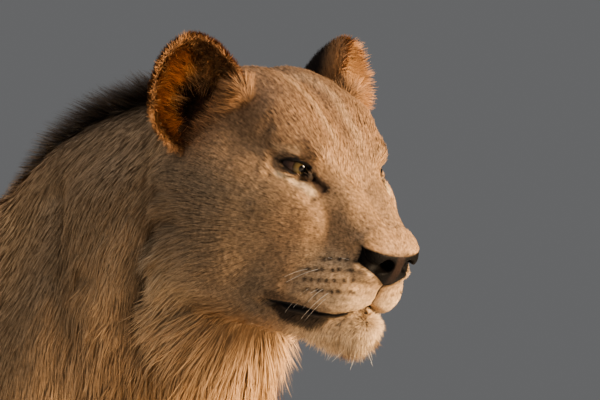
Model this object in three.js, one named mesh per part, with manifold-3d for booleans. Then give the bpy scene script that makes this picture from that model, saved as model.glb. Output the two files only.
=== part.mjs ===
// A young male lion, standing on four feet with its head raised and turned a little to its right.
// Millimetres: +X towards the nose, +Y to the lion's left, +Z up. The soles are at z = 0, and the
// origin is halfway between the nose and the tail's tuft. Each solid reaches to the tips of the
// coat.
import * as THREE from "three";
import { mergeVertices } from "three/addons/utils/BufferGeometryUtils.js";
import Module from "manifold-3d";

const wasm = await Module();
wasm.setup();

// ---- driving dimensions -------------------------------------------------------------------

const withersHeight = 985;
const rumpHeight = 905;
const elbowHeight = 545;
const hockHeight = 285;
const footSpacing = 105; // from the middle plane to the middle of a paw
const foreStation = 365; // X of the fore paws' ankles
const hindStation = -625; // X of the hind paws' ankles

const headTurn = -12; // degrees about Z, so that the head turns to the lion's right
const headDip = 16; // degrees that the nose points down
const headSeat = [520, -14, 1055]; // the back of the skull, on the body's frame

const eyeRadius = 17.5;
const cutGap = 0.4; // between parts that meet
const bigSide = 4000; // larger than the whole animal

// Landmarks of the head on its own frame: X forwards from the back of the skull, Z up from the
// level of the nose's lower edge. Those off the middle plane have a twin at -Y.
const crown = { x: 98, z: 143 };
const brow = { x: 200, z: 101 };
const noseTip = { x: 318, z: 20 };
const eye = { x: 189, y: 47, z: 66 };
const mouth = { front: 314, frontZ: -45, corner: 224, cornerZ: -66 };
const chin = { x: 280, z: -113 };
const jawAngle = { x: 98, y: 80, z: -78 };
const earHole = { x: 80, y: 103, z: 108 };

// ---- fields -------------------------------------------------------------------------------
// A field is negative inside the flesh and about the distance to its surface.

const turned = (x, y, z) =>
  new THREE.Matrix4().makeRotationFromEuler(
    new THREE.Euler(...[x, y, z].map(THREE.MathUtils.degToRad), "ZYX"),
  );

// An ellipsoid. A positive dip lowers its front end; roll and turn are about X and Z.
function mass([cx, cy, cz], [rx, ry, rz], { dip = 0, roll = 0, turn = 0 } = {}) {
  const m = turned(roll, dip, turn).invert().elements;
  return (x, y, z) => {
    const [dx, dy, dz] = [x - cx, y - cy, z - cz];
    const a = (m[0] * dx + m[4] * dy + m[8] * dz) / rx;
    const b = (m[1] * dx + m[5] * dy + m[9] * dz) / ry;
    const c = (m[2] * dx + m[6] * dy + m[10] * dz) / rz;
    const reach = Math.hypot(a, b, c);
    return (reach * (reach - 1)) / Math.max(Math.hypot(a / rx, b / ry, c / rz), 1e-9);
  };
}

// A tapered limb with round ends; width scales its thickness across Y.
function limb(from, to, fromRadius, toRadius, width = 1) {
  const along = to.map((value, i) => value - from[i]);
  const squared = along.reduce((sum, value) => sum + value * value, 0);
  return (x, y, z) => {
    const [dx, dy, dz] = [x - from[0], y - from[1], z - from[2]];
    const dot = dx * along[0] + dy * along[1] + dz * along[2];
    const t = Math.min(Math.max(dot / squared, 0), 1);
    const side = (dy - t * along[1]) / width;
    const radius = fromRadius + t * (toRadius - fromRadius);
    return Math.hypot(dx - t * along[0], side, dz - t * along[2]) - radius;
  };
}

const paired = (field) => (x, y, z) => field(x, Math.abs(y), z);

function softMin(a, b, blend) {
  const overlap = Math.max(blend - Math.abs(a - b), 0) / blend;
  return Math.min(a, b) - (overlap * overlap * blend) / 4;
}

// Joins fields with a fillet of about the given width, or hollows the first by the others.
const joined = (blend, ...fields) => (x, y, z) =>
  fields.reduce((sum, field) => softMin(sum, field(x, y, z), blend), 1e6);
const hollowed = (blend, field, ...hollows) => (x, y, z) =>
  hollows.reduce((sum, hollow) => -softMin(-sum, hollow(x, y, z), blend), field(x, y, z));

// ---- the head -----------------------------------------------------------------------------

function headField() {
  const skull = joined(
    44,
    paired(mass([crown.x, 26, 50], [116, 66, crown.z - 50])), // braincase, flat on top
    paired(mass([118, 64, 2], [88, 52, 66], { turn: -7 })), // cheekbone and jaw muscle
    paired(mass([jawAngle.x - 6, jawAngle.y - 24, jawAngle.z + 26], [84, 56, 58])), // cheek ruff
    mass([70, 0, -28], [100, 92, 98]), // back of the jaw into the throat
  );
  const forehead = joined(
    24,
    mass([158, 0, brow.z - 28], [70, 58, 44], { dip: 23 }),
    paired(limb([156, 48, brow.z - 5], [brow.x - 2, 42, brow.z - 17], 23, 15)),
  );
  const bridge = joined(
    18,
    paired(limb([188, 17, brow.z - 29], [noseTip.x - 32, 16, noseTip.z - 12], 25, 17)),
    mass([noseTip.x - 16, 0, noseTip.z - 7], [22, 31, 14], { dip: 22 }), // furry tip
    paired(mass([238, 20, 12], [74, 25, 42], { dip: 14, turn: -7 })),
    paired(mass([202, 51, 20], [52, 28, 36], { turn: -14 })), // below the eye
    paired(mass([212, 52, -16], [44, 22, 32], { turn: -16 })), // front of the cheek
  );
  const lips = joined(
    14,
    paired(mass([270, 27, -26], [37, 25, 40], { turn: -12 })), // whisker pad
    paired(mass([248, 42, -40], [52, 19, 33], { turn: -16, dip: -4 })), // hanging upper lip
    paired(mass([noseTip.x - 19, 19, noseTip.z - 20], [17, 16, 14])), // beside the nostril
    mass([noseTip.x - 19, 0, noseTip.z - 23], [21, 26, 18], { dip: 16 }), // nose leather
    mass([288, 0, -28], [20, 24, 24]), // between the pads
  );
  const jaw = joined(
    22,
    paired(limb([124, 58, jawAngle.z - 4], [246, 21, chin.z + 33], 33, 28)),
    mass([chin.x - 17, 0, chin.z + 34], [45, 35, 36]),
    paired(mass([212, 49, -64], [48, 26, 38], { turn: -12 })), // at the corner of the mouth
    mass([240, 0, -66], [56, 40, 30]), // the closed mouth's inside
  );
  const earRoot = paired(mass([earHole.x - 40, earHole.y - 30, earHole.z - 18], [36, 30, 40]));
  const earFlap = paired(limb([112, 74, 122], [64, 95, 58], 12, 13)); // the ear's front edge
  const upperHead = joined(14, joined(24, skull, forehead, bridge, earRoot), earFlap);
  const solid = joined(16, upperHead, joined(9, lips, jaw));
  const socket = mass([eye.x + 17, eye.y + 17, eye.z], [26, 15, 12], { turn: 40, dip: 6 });
  return hollowed(12, solid, paired(socket));
}

// ---- the body -----------------------------------------------------------------------------

function trunkField() {
  const ribs = joined(
    90,
    mass([235, 0, 750], [270, 158, 222]),
    mass([-20, 0, 742], [330, 160, 194], { dip: -2 }),
    mass([215, 0, withersHeight - 102], [170, 76, 102]),
    mass([-330, 0, 775], [270, 134, 146]),
    mass([-200, 0, 682], [255, 120, 102], { dip: 4 }), // flank
    mass([-510, 0, rumpHeight - 135], [178, 128, 135]),
  );
  const shoulder = paired(mass([336, 106, 775], [88, 68, 186], { dip: 30, roll: -4 }));
  const haunch = paired(mass([-500, 97, 690], [136, 70, 190], { dip: -18, roll: 3 }));
  return joined(36, ribs, shoulder, haunch);
}

function foreLegField() {
  const [x, y] = [foreStation, footSpacing];
  return paired(
    joined(
      30,
      limb([436, 104, 695], [342, 112, elbowHeight + 10], 84, 64),
      limb([336, 112, elbowHeight + 5], [x - 4, y + 1, 250], 62, 41),
      mass([x + 2, y, 222], [42, 38, 48]),
      limb([x, y, 205], [x + 22, y, 80], 37, 38, 1.08),
      pawField(x + 52, y, 1),
    ),
  );
}

function hindLegField() {
  const [x, y] = [hindStation, footSpacing - 3];
  return paired(
    joined(
      30,
      limb([-510, 88, 760], [-418, 112, 575], 118, 76, 0.8),
      limb([-430, 112, 560], [x - 2, y, hockHeight + 25], 72, 37, 0.85),
      mass([x - 14, y, hockHeight], [44, 30, 42]),
      limb([x - 8, y, hockHeight - 20], [x + 26, y, 85], 33, 36),
      pawField(x + 58, y, 0.93),
    ),
  );
}

// Four toes round a middle, with the heel behind, on the floor.
function pawField(x, y, size) {
  const toes = [-1.5, -0.5, 0.5, 1.5].map((step) =>
    mass(
      [x + size * (46 - 7 * step * step), y + 29 * step * size, 27 * size],
      [41 * size, 19 * size, 29 * size],
      { turn: 7 * step, dip: 6 },
    ),
  );
  const middle = mass([x - 4 * size, y, 38 * size], [58 * size, 50 * size, 42 * size], { dip: 12 });
  const heel = mass([x - 34 * size, y, 26 * size], [38 * size, 38 * size, 32 * size]);
  return joined(9, joined(20, middle, heel), ...toes);
}

function neckField() {
  const [hx, hy, hz] = headSeat;
  return joined(
    60,
    limb([250, 0, 858], [430, -5, 952], 140, 134, 0.86),
    limb([430, -5, 952], [hx + 40, hy - 4, hz - 27], 134, 113, 0.86),
    mass([415, -7, 1044], [165, 70, 80], { dip: -24 }), // nape
    mass([hx - 8, hy, hz - 183], [110, 104, 118], { dip: 20 }), // throat and its ruff
    mass([462, -4, 745], [110, 112, 185]), // breast
    paired(mass([445, 104, 935], [66, 46, 120], { dip: 14 })), // sides of the neck
  );
}

// The ridge of longer hair from between the ears to the withers.
function crestField() {
  const [hx, hy, hz] = headSeat;
  return joined(
    30,
    limb([hx + 6, hy, hz + 84], [hx - 105, hy + 8, hz + 66], 26, 27, 0.7),
    limb([hx - 105, hy + 8, hz + 66], [205, 0, withersHeight - 2], 27, 20, 0.7),
  );
}

const headGroup = new THREE.Group();
headGroup.position.set(...headSeat);
headGroup.rotation.set(0, ...[headDip, headTurn].map(THREE.MathUtils.degToRad), "ZYX");
headGroup.updateMatrixWorld();

function wholeField() {
  const head = headField();
  const body = joined(40, trunkField(), joined(45, foreLegField(), hindLegField()));
  const bodyWithNeck = joined(60, body, neckField());
  const crest = crestField();
  const m = headGroup.matrixWorld.clone().invert().elements;
  const headOnBody = (x, y, z) =>
    head(
      m[0] * x + m[4] * y + m[8] * z + m[12],
      m[1] * x + m[5] * y + m[9] * z + m[13],
      m[2] * x + m[6] * y + m[10] * z + m[14],
    );
  return joined(24, joined(34, bodyWithNeck, headOnBody), crest);
}

// ---- surfaces and solids ------------------------------------------------------------------

// Evenly spaced values, from low to high or just past it.
const ruler = (low, high, step) =>
  Array.from({ length: Math.ceil((high - low) / step) + 1 }, (_, n) => low + n * step);

// The closed surface where a field is zero, on the grid that three rulers make: each cell that
// the surface crosses holds one vertex, and each crossed edge of the grid becomes a quad.
function surfaceOf(field, rulers) {
  const [nx, ny, nz] = rulers.map((ruler) => ruler.length);
  const finest = Math.min(...rulers.map((ruler) => ruler.at(-1) - ruler.at(-2)));
  const at = (i, j, k) => (k * ny + j) * nx + i;
  const value = new Float32Array(nx * ny * nz);
  for (let k = 0; k < nz; k++)
    for (let j = 0; j < ny; j++)
      for (let i = 0; i < nx; i++) {
        const inside = i && j && k && i < nx - 1 && j < ny - 1 && k < nz - 1;
        const here = field(rulers[0][i], rulers[1][j], rulers[2][k]);
        value[at(i, j, k)] = inside ? here : Math.max(here, finest / 2);
      }
  const vertexOf = new Int32Array(nx * ny * nz).fill(-1);
  const points = [];
  const corners = [0, 1, 2, 3, 4, 5, 6, 7].map((c) => [c & 1, (c >> 1) & 1, c >> 2]);
  for (let k = 0; k < nz - 1; k++)
    for (let j = 0; j < ny - 1; j++)
      for (let i = 0; i < nx - 1; i++) {
        const values = corners.map(([a, b, c]) => value[at(i + a, j + b, k + c)]);
        const sum = [0, 0, 0];
        let crossings = 0;
        for (let c = 0; c < 8; c++)
          for (const bit of [1, 2, 4]) {
            const d = c | bit;
            if (c & bit || values[c] < 0 === values[d] < 0) continue;
            const t = values[c] / (values[c] - values[d]);
            for (let n = 0; n < 3; n++)
              sum[n] += corners[c][n] + t * (corners[d][n] - corners[c][n]);
            crossings++;
          }
        if (!crossings) continue;
        vertexOf[at(i, j, k)] = points.length / 3;
        [i, j, k].forEach((n, a) => {
          const [from, to] = rulers[a].slice(n, n + 2);
          points.push(from + (sum[a] / crossings) * (to - from));
        });
      }
  drawOnto(field, points, finest);
  const faces = [];
  const steps = [[1, 0, 0], [0, 1, 0], [0, 0, 1]];
  for (let k = 0; k < nz - 1; k++)
    for (let j = 0; j < ny - 1; j++)
      for (let i = 0; i < nx - 1; i++)
        steps.forEach((step, axis) => {
          const here = value[at(i, j, k)] < 0;
          if (here === value[at(i + step[0], j + step[1], k + step[2])] < 0) return;
          const u = steps[(axis + 1) % 3];
          const v = steps[(axis + 2) % 3];
          const around = [[0, 0], [1, 0], [1, 1], [0, 1]].map(
            ([a, b]) => vertexOf[at(...[i, j, k].map((n, q) => n - a * u[q] - b * v[q]))],
          );
          addQuad(faces, points, here ? around : around.reverse());
        });
  return { points: new Float32Array(points), faces: new Uint32Array(faces) };
}

// Moves each vertex along the field's slope until it lies on the surface.
function drawOnto(field, points, cell) {
  const h = 0.5;
  for (let n = 0; n < points.length; n += 3)
    for (let round = 0; round < 3; round++) {
      const [x, y, z] = points.slice(n, n + 3);
      const here = field(x, y, z);
      const slope = [
        field(x + h, y, z) - field(x - h, y, z),
        field(x, y + h, z) - field(x, y - h, z),
        field(x, y, z + h) - field(x, y, z - h),
      ].map((difference) => difference / (2 * h));
      const steep = slope.reduce((sum, s) => sum + s * s, 1e-6);
      const step = THREE.MathUtils.clamp(here, -0.4 * cell, 0.4 * cell) / steep;
      if (Math.abs(here) < 0.6 * cell) slope.forEach((s, a) => (points[n + a] -= s * step));
    }
}

// Splits a quad along its shorter diagonal.
function addQuad(faces, points, [a, b, c, d]) {
  const apart = (p, q) =>
    Math.hypot(...[0, 1, 2].map((i) => points[3 * p + i] - points[3 * q + i]));
  if (apart(a, c) < apart(b, d)) faces.push(a, b, c, a, c, d);
  else faces.push(a, b, d, b, c, d);
}

const solidFrom = ({ points, faces }) =>
  new wasm.Manifold(new wasm.Mesh({ numProp: 3, vertProperties: points, triVerts: faces }));

const blockOf = (field, ...rulers) => solidFrom(surfaceOf(field, rulers));

function solidOf(geometry) {
  const bare = geometry.clone();
  bare.deleteAttribute("normal");
  bare.deleteAttribute("uv");
  const merged = mergeVertices(bare, 1e-3);
  return solidFrom({
    points: merged.attributes.position.array,
    faces: new Uint32Array(merged.index.array),
  });
}

// Everything beyond a plane, on the side that its direction points to.
function beyond(point, direction) {
  const normal = new THREE.Vector3(...direction).normalize();
  const box = new THREE.BoxGeometry(bigSide, bigSide, bigSide);
  box.translate(0, 0, bigSide / 2);
  box.applyQuaternion(new THREE.Quaternion().setFromUnitVectors(new THREE.Vector3(0, 0, 1), normal));
  box.translate(...point);
  return solidOf(box);
}

// A copy of a solid, moved, or on the other side of the middle plane.
function copyOf(solid, { step = [0, 0, 0], otherSide = false }) {
  const { vertProperties, triVerts } = solid.getMesh();
  const points = vertProperties.map((value, i) =>
    otherSide && i % 3 === 1 ? -value : value + step[i % 3],
  );
  return solidFrom({ points, faces: otherSide ? triVerts.slice().reverse() : triVerts });
}

function meshOf(name, solid, material) {
  const mesh = solid.getMesh();
  const geometry = new THREE.BufferGeometry();
  geometry.setAttribute("position", new THREE.BufferAttribute(mesh.vertProperties, 3));
  geometry.setIndex(new THREE.BufferAttribute(mesh.triVerts, 1));
  geometry.computeVertexNormals();
  const made = new THREE.Mesh(geometry, material);
  made.name = name;
  return made;
}

const finish = (color, roughness) => new THREE.MeshStandardMaterial({ color, roughness, metalness: 0 });
const coat = finish(0xb08a5e, 0.9);
const maneHair = finish(0x3a2c22, 0.9);
const tuftHair = finish(0x2a201a, 0.9);
const leather = finish(0x1d1715, 0.5);
const amber = finish(0x8a5a22, 0.15);

// ---- ears ---------------------------------------------------------------------------------

// The left ear, a round cup on the side of the head. Spokes run from its deepest point to the
// rim; the outer wall follows the inner one at the ear's thickness.
function earSolid() {
  const halfWidth = 49;
  const halfHeight = 60;
  const depth = 50;
  const thickness = 13;
  const rings = 4;
  const spokes = 14;
  const facing = new THREE.Vector3(0.86, 0.5, 0.1).normalize();
  const up = new THREE.Vector3(-0.12, 0.2, 0.97);
  up.addScaledVector(facing, -facing.dot(up)).normalize();
  const across = new THREE.Vector3().crossVectors(up, facing);
  const place = (ring, spoke, layer) => {
    const reach = ring / rings;
    const angle = (2 * Math.PI * spoke) / spokes;
    const wide = Math.cos(angle) * (1 - 0.12 * Math.sin(angle));
    const wall = layer * thickness * (1 - 0.35 * reach ** 3);
    const grown = 1 + (layer * 0.08 * reach);
    const point = new THREE.Vector3(earHole.x, earHole.y, earHole.z);
    point.addScaledVector(across, grown * reach * halfWidth * wide);
    point.addScaledVector(up, grown * reach * halfHeight * Math.sin(angle) - 16 * (1 - reach));
    point.addScaledVector(facing, 8 - depth * (1 - reach * reach) ** 0.8 - wall);
    point.addScaledVector(facing, -13 * reach ** 2 * Math.sin(angle) ** 2);
    return point;
  };
  const points = [];
  for (const layer of [0, 1]) {
    points.push(...place(0, 0, layer).toArray());
    for (let ring = 1; ring <= rings; ring++)
      for (let spoke = 0; spoke < spokes; spoke++) points.push(...place(ring, spoke, layer).toArray());
  }
  const layerSize = 1 + rings * spokes;
  const index = (ring, spoke, layer) =>
    layer * layerSize + (ring ? 1 + (ring - 1) * spokes + (spoke % spokes) : 0);
  const faces = [];
  const quad = (corners, flip) => addQuad(faces, points, flip ? corners.reverse() : corners);
  for (let spoke = 0; spoke < spokes; spoke++)
    for (const layer of [0, 1]) {
      const fan = [index(0, 0, layer), index(1, spoke, layer), index(1, spoke + 1, layer)];
      faces.push(...(layer ? fan.reverse() : fan));
      for (let ring = 1; ring < rings; ring++) {
        const here = [[0, 0], [1, 0], [1, 1], [0, 1]];
        quad(here.map(([r, s]) => index(ring + r, spoke + s, layer)), layer === 1);
      }
    }
  for (let spoke = 0; spoke < spokes; spoke++)
    quad(
      [
        index(rings, spoke, 0),
        index(rings, spoke, 1),
        index(rings, spoke + 1, 1),
        index(rings, spoke + 1, 0),
      ],
      false,
    );
  return solidFrom({ points: new Float32Array(points), faces: new Uint32Array(faces) });
}

// ---- tail ---------------------------------------------------------------------------------

const tailLine = new THREE.CatmullRomCurve3(
  [
    [-630, 0, 842],
    [-708, 0, 790],
    [-756, 8, 670],
    [-778, 18, 510],
    [-808, 28, 350],
    [-862, 36, 238],
    [-930, 40, 192],
  ].map((point) => new THREE.Vector3(...point)),
);

// A tapered tube along part of the tail's line; radiusAt takes 0 to 1 along that part.
function tailSolid(start, end, rings, radiusAt) {
  const sides = 8;
  const points = [];
  for (let ring = 0; ring <= rings; ring++) {
    const t = ring / rings;
    const centre = tailLine.getPointAt(start + t * (end - start));
    const ahead = tailLine.getTangentAt(start + t * (end - start));
    const left = new THREE.Vector3(0, 1, 0).addScaledVector(ahead, -ahead.y).normalize();
    const up = new THREE.Vector3().crossVectors(ahead, left);
    for (let side = 0; side < sides; side++) {
      const angle = (2 * Math.PI * side) / sides;
      const spoke = left.clone().multiplyScalar(Math.cos(angle)).addScaledVector(up, Math.sin(angle));
      points.push(...centre.clone().addScaledVector(spoke, radiusAt(t)).toArray());
    }
  }
  const faces = [];
  for (let ring = 0; ring < rings; ring++)
    for (let side = 0; side < sides; side++) {
      const next = (side + 1) % sides;
      const [a, b] = [ring * sides + side, ring * sides + next];
      faces.push(a, b, b + sides, a, b + sides, a + sides);
    }
  const last = rings * sides;
  for (let side = 1; side < sides - 1; side++) {
    faces.push(0, side + 1, side);
    faces.push(last, last + side, last + side + 1);
  }
  return solidFrom({ points: new Float32Array(points), faces: new Uint32Array(faces) });
}

// ---- assembly -----------------------------------------------------------------------------

const lion = new THREE.Group();
lion.add(headGroup);
const field = wholeField();
const fromHead = (point) => new THREE.Vector3(...point).applyMatrix4(headGroup.matrixWorld).toArray();
const turnedFromHead = (direction) =>
  new THREE.Vector3(...direction).transformDirection(headGroup.matrixWorld).toArray();
const fieldOnHead = (x, y, z) => field(...fromHead([x, y, z]));

// A part's zone is what lies beyond all of its planes, each a point and a direction into the
// zone. A positive margin draws the planes in, and a negative one lets them out.
const zoneOf = (planes, margin) =>
  planes
    .map(([point, direction]) => {
      const length = Math.hypot(...direction);
      return beyond(point.map((p, i) => p + (margin * direction[i]) / length), direction);
    })
    .reduce((zone, half) => zone.intersect(half));
const inside = (solid, planes) => solid.intersect(zoneOf(planes, cutGap / 2));
const outside = (solid, planes) => solid.subtract(zoneOf(planes, -cutGap / 2));
const mirrored = (planes) => planes.map((plane) => plane.map(([x, y, z]) => [x, -y, z]));
const onBody = (planes) =>
  planes.map(([point, direction]) => [fromHead(point), turnedFromHead(direction)]);

// Behind the ears and the angle of the jaw, and under the jaw.
const headZone = [
  [[14, 0, 0], [0.97, 0, 0.24]],
  [[200, 0, chin.z - 10], [0.05, 0, 1]],
];
const noseZone = [
  [[noseTip.x - 7, 0, noseTip.z], [0.9, 0, -0.43]],
  [[0, 0, noseTip.z - 49], [0, 0, 1]],
  [[0, 34, 0], [0, -1, 0]],
  [[0, -34, 0], [0, 1, 0]],
];
const jawZone = [
  [[mouth.front, 0, mouth.frontZ - 8], [-0.25, 0, -1]],
  [[mouth.corner - 24, 0, 0], [1, 0, 0]],
];
const neckZone = [[[330, 0, 900], [0.8, 0, 0.6]]];
const maneZone = [
  [[headSeat[0] - 120, 0, headSeat[2] + 16], [-0.52, 0, 0.85]],
  [[0, -44, 0], [0, 1, 0]],
  [[0, 40, 0], [0, -1, 0]],
];
const foreLegZone = [
  [[foreStation, footSpacing, elbowHeight + 50], [0, 0.48, -0.88]],
  [[0, 10, 0], [0, 1, 0]],
  [[foreStation - 190, 0, 0], [1, 0, 0]],
];
const hindLegZone = [
  [[hindStation + 145, footSpacing, 660], [0.2, 0.45, -0.87]],
  [[0, 10, 0], [0, 1, 0]],
  [[hindStation + 330, 0, 0], [-1, 0, 0]],
];
const floorZone = [[[0, 0, -cutGap / 2], [0, 0, 1]]];
const pawZone = (station) => [[[station + 10, 0, 92], [0.3, 0, -0.95]]];

// A solid with a margin about it, to cut away from what has to stay clear of it.
const spread = (solid) =>
  wasm.Manifold.union(
    [[1, 0, 0], [-1, 0, 0], [0, 1, 0], [0, -1, 0], [0, 0, 1], [0, 0, -1]].map((step) =>
      copyOf(solid, { step: step.map((value) => 1.2 * cutGap * value) }),
    ),
  );

// The head, on a finer grid in front of the cheeks.
const headBlock = blockOf(
  fieldOnHead,
  [...ruler(-32, 90, 32), ...ruler(120, 360, 16.4)],
  ruler(-160, 160, 16),
  ruler(-156, 178, 16.5),
);
let head = inside(headBlock, headZone);
const eyeball = new THREE.SphereGeometry(eyeRadius, 12, 7);
for (const side of [1, -1]) {
  const socket = new THREE.SphereGeometry(eyeRadius + cutGap, 12, 7);
  head = head.subtract(solidOf(socket.translate(eye.x, side * eye.y, eye.z)));
}
headGroup.add(meshOf("nose", inside(head, noseZone), leather));
headGroup.add(meshOf("lower_jaw", inside(outside(head, noseZone), jawZone), coat));
headGroup.add(meshOf("head", outside(outside(head, noseZone), jawZone), coat));

const clearOfHead = spread(headBlock);
const ear = earSolid();
for (const [name, side] of [["left", 1], ["right", -1]]) {
  const cup = copyOf(ear, { otherSide: side < 0 });
  headGroup.add(meshOf("ear_" + name, cup.subtract(clearOfHead), coat));
  const ball = new THREE.Mesh(eyeball, amber);
  ball.name = "eye_" + name;
  ball.position.set(eye.x, side * eye.y, eye.z);
  headGroup.add(ball);
}

// The neck and the crest of mane hair along it.
const neckPart = (length, width, height) => {
  const rulers = [ruler(180, 800, length), ruler(-252, 252, width), ruler(560, 1240, height)];
  return outside(inside(blockOf(field, ...rulers), neckZone), onBody(headZone));
};
lion.add(meshOf("neck", outside(neckPart(52, 42, 50), maneZone), coat));
lion.add(meshOf("mane", inside(neckPart(44, 22, 26), maneZone), maneHair));

// The trunk and the legs, each paw on a finer grid.
let trunk = blockOf(field, ruler(-780, 660, 76), ruler(-282, 282, 47), ruler(430, 1150, 52));
trunk = outside(trunk, neckZone);
for (const [name, zone, station, legBack, legFront, legTop] of [
  ["fore", foreLegZone, foreStation, 120, 620, 720],
  ["hind", hindLegZone, hindStation, -820, -260, 760],
]) {
  const standing = [...zone, ...floorZone];
  const legRulers = [ruler(legBack, legFront, 36), ruler(-10, 230, 34), ruler(-40, legTop, 56)];
  const pawRulers = [ruler(legBack, legFront, 22), ruler(-10, 230, 17.5), ruler(-40, 170, 24)];
  const upper = outside(inside(blockOf(field, ...legRulers), standing), pawZone(station));
  const paw = inside(blockOf(field, ...pawRulers), [...standing, ...pawZone(station)]);
  for (const otherSide of [false, true]) {
    const side = otherSide ? "right" : "left";
    lion.add(meshOf(name + "leg_" + side, copyOf(upper, { otherSide }), coat));
    lion.add(meshOf(name + "paw_" + side, copyOf(paw, { otherSide }), coat));
    trunk = outside(trunk, otherSide ? mirrored(zone) : zone);
  }
}
lion.add(meshOf("trunk", trunk, coat));

const tuftStart = 0.8;
const tail = tailSolid(0, tuftStart, 12, (t) => 33 - 16 * t ** 0.6);
const tuftRadius = (t) => 17 - 11 * t + 24 * Math.sin(Math.PI * t ** 0.8);
const tuft = tailSolid(tuftStart + 0.001, 1, 7, tuftRadius);
lion.add(meshOf("tail", tail.subtract(spread(trunk)), coat), meshOf("tail_tuft", tuft, tuftHair));

const reach = new THREE.Box3().setFromObject(lion, true);
lion.position.x = -(reach.min.x + reach.max.x) / 2;

export default lion;
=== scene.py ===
# A young male lion, standing: its skin, coat, eyes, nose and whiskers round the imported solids.
import math

import bmesh
import bpy
import numpy as np
from mathutils import Matrix, Vector


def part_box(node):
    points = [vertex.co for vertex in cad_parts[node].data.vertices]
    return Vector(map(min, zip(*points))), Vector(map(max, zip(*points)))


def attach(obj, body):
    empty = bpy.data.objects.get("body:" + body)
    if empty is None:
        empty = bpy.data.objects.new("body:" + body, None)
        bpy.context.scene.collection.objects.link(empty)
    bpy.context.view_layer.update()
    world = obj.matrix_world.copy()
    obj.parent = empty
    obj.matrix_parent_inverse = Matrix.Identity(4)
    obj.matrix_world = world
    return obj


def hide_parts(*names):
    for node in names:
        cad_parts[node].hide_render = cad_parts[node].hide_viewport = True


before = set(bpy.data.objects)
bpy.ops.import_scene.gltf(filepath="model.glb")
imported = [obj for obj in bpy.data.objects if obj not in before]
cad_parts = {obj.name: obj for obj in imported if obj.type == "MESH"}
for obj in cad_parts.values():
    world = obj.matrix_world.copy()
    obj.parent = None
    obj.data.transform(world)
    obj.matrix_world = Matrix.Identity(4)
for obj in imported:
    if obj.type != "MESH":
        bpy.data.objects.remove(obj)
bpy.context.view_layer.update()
mm = 0.001  # the shapes below are in millimetres, and the scene is in metres


def centreOf(node):
    low, high = (np.array(corner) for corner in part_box(node))
    return (low + high) / 2


# The body's own frame, and the head's, which is turned and dipped.

headPose = {"seat": (520.0, -14.0, 1055.0), "eyes": (189.0, 47.0, 66.0), "dip": 16.0}


def turning(roll=0.0, dip=0.0, turn=0.0):
    # Turns about X, then Y, then Z; a positive dip lowers the front end.
    (cr, sr), (cd, sd), (ct, st) = (
        (math.cos(math.radians(a)), math.sin(math.radians(a))) for a in (roll, dip, turn)
    )
    aboutX = np.array(((1, 0, 0), (0, cr, -sr), (0, sr, cr)))
    aboutY = np.array(((cd, 0, sd), (0, 1, 0), (-sd, 0, cd)))
    aboutZ = np.array(((ct, -st, 0), (st, ct, 0), (0, 0, 1)))
    return (aboutZ @ aboutY @ aboutX).astype(np.float32)


leftEye, rightEye = centreOf("eye_left") / mm, centreOf("eye_right") / mm
across = leftEye - rightEye
headTurning = turning(dip=headPose["dip"], turn=-math.degrees(math.atan2(across[0], across[1])))
betweenEyes = np.array((headPose["eyes"][0], 0, headPose["eyes"][2]))
seatInScene = (leftEye + rightEye) / 2 - headTurning @ betweenEyes
seat = np.array(headPose["seat"], np.float32)
bodyShift = np.array((seatInScene[0] - seat[0], 0, 0), np.float32)  # body frame to scene


def toHead(p):
    return (p - seat) @ headTurning


def fromHead(h):
    return np.asarray(h, np.float32) @ headTurning.T + seat


def inScene(h):
    return ((fromHead(h) + bodyShift) * mm).tolist()


def mirrored(p, rounding=0.0):
    # The other side laid over this one; rounding keeps a crease off the middle plane.
    return np.stack((p[:, 0], np.hypot(p[:, 1], rounding), p[:, 2]), 1)


# Fields: negative inside the flesh, and about the distance to its surface.
def mass(p, centre, radii, dip=0.0, roll=0.0, turn=0.0):
    local = (p - np.array(centre, np.float32)) @ turning(roll, dip, turn)
    scaled = local / np.array(radii, np.float32)
    reach = np.sqrt(np.einsum("ij,ij->i", scaled, scaled))
    scaled /= np.array(radii, np.float32)
    steep = np.sqrt(np.einsum("ij,ij->i", scaled, scaled))
    return reach * (reach - 1) / np.maximum(steep, 1e-6)


def limb(p, start, end, startRadius, endRadius, width=1.0):
    start, end = np.array(start, np.float32), np.array(end, np.float32)
    along = end - start
    t = np.clip((p - start) @ along / (along @ along), 0, 1)
    away = p - start - t[:, None] * along
    away[:, 1] /= width
    radius = startRadius + t * (endRadius - startRadius)
    return np.sqrt(np.einsum("ij,ij->i", away, away)) - radius


def joined(blend, *fields):
    total = fields[0]
    for field in fields[1:]:
        overlap = np.maximum(blend - np.abs(total - field), 0) / blend
        total = np.minimum(total, field) - overlap * overlap * blend / 4
    return total


def hollowed(blend, field, *hollows):
    for hollow in hollows:
        field = -joined(blend, -field, hollow)
    return field


def creased(field, distance, width, depth):
    # Presses a soft line of the given width and depth into the surface.
    return field + depth * np.exp(-((distance / width) ** 2))


def ramp(value, low, high):
    t = np.clip((value - low) / (high - low), 0, 1)
    return t * t * (3 - 2 * t)


def lineDistance(p, points):
    return np.min([limb(p, a, b, 0, 0) for a, b in zip(points, points[1:])], axis=0)


def folded(field, p, folds, *names, fade=1):
    # Each fold has a width, a depth (below zero where it stands out) and a course.
    for name in names:
        width, depth, course = folds[name]
        field = creased(field, lineDistance(p, course), width, depth * fade)
    return field


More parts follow.
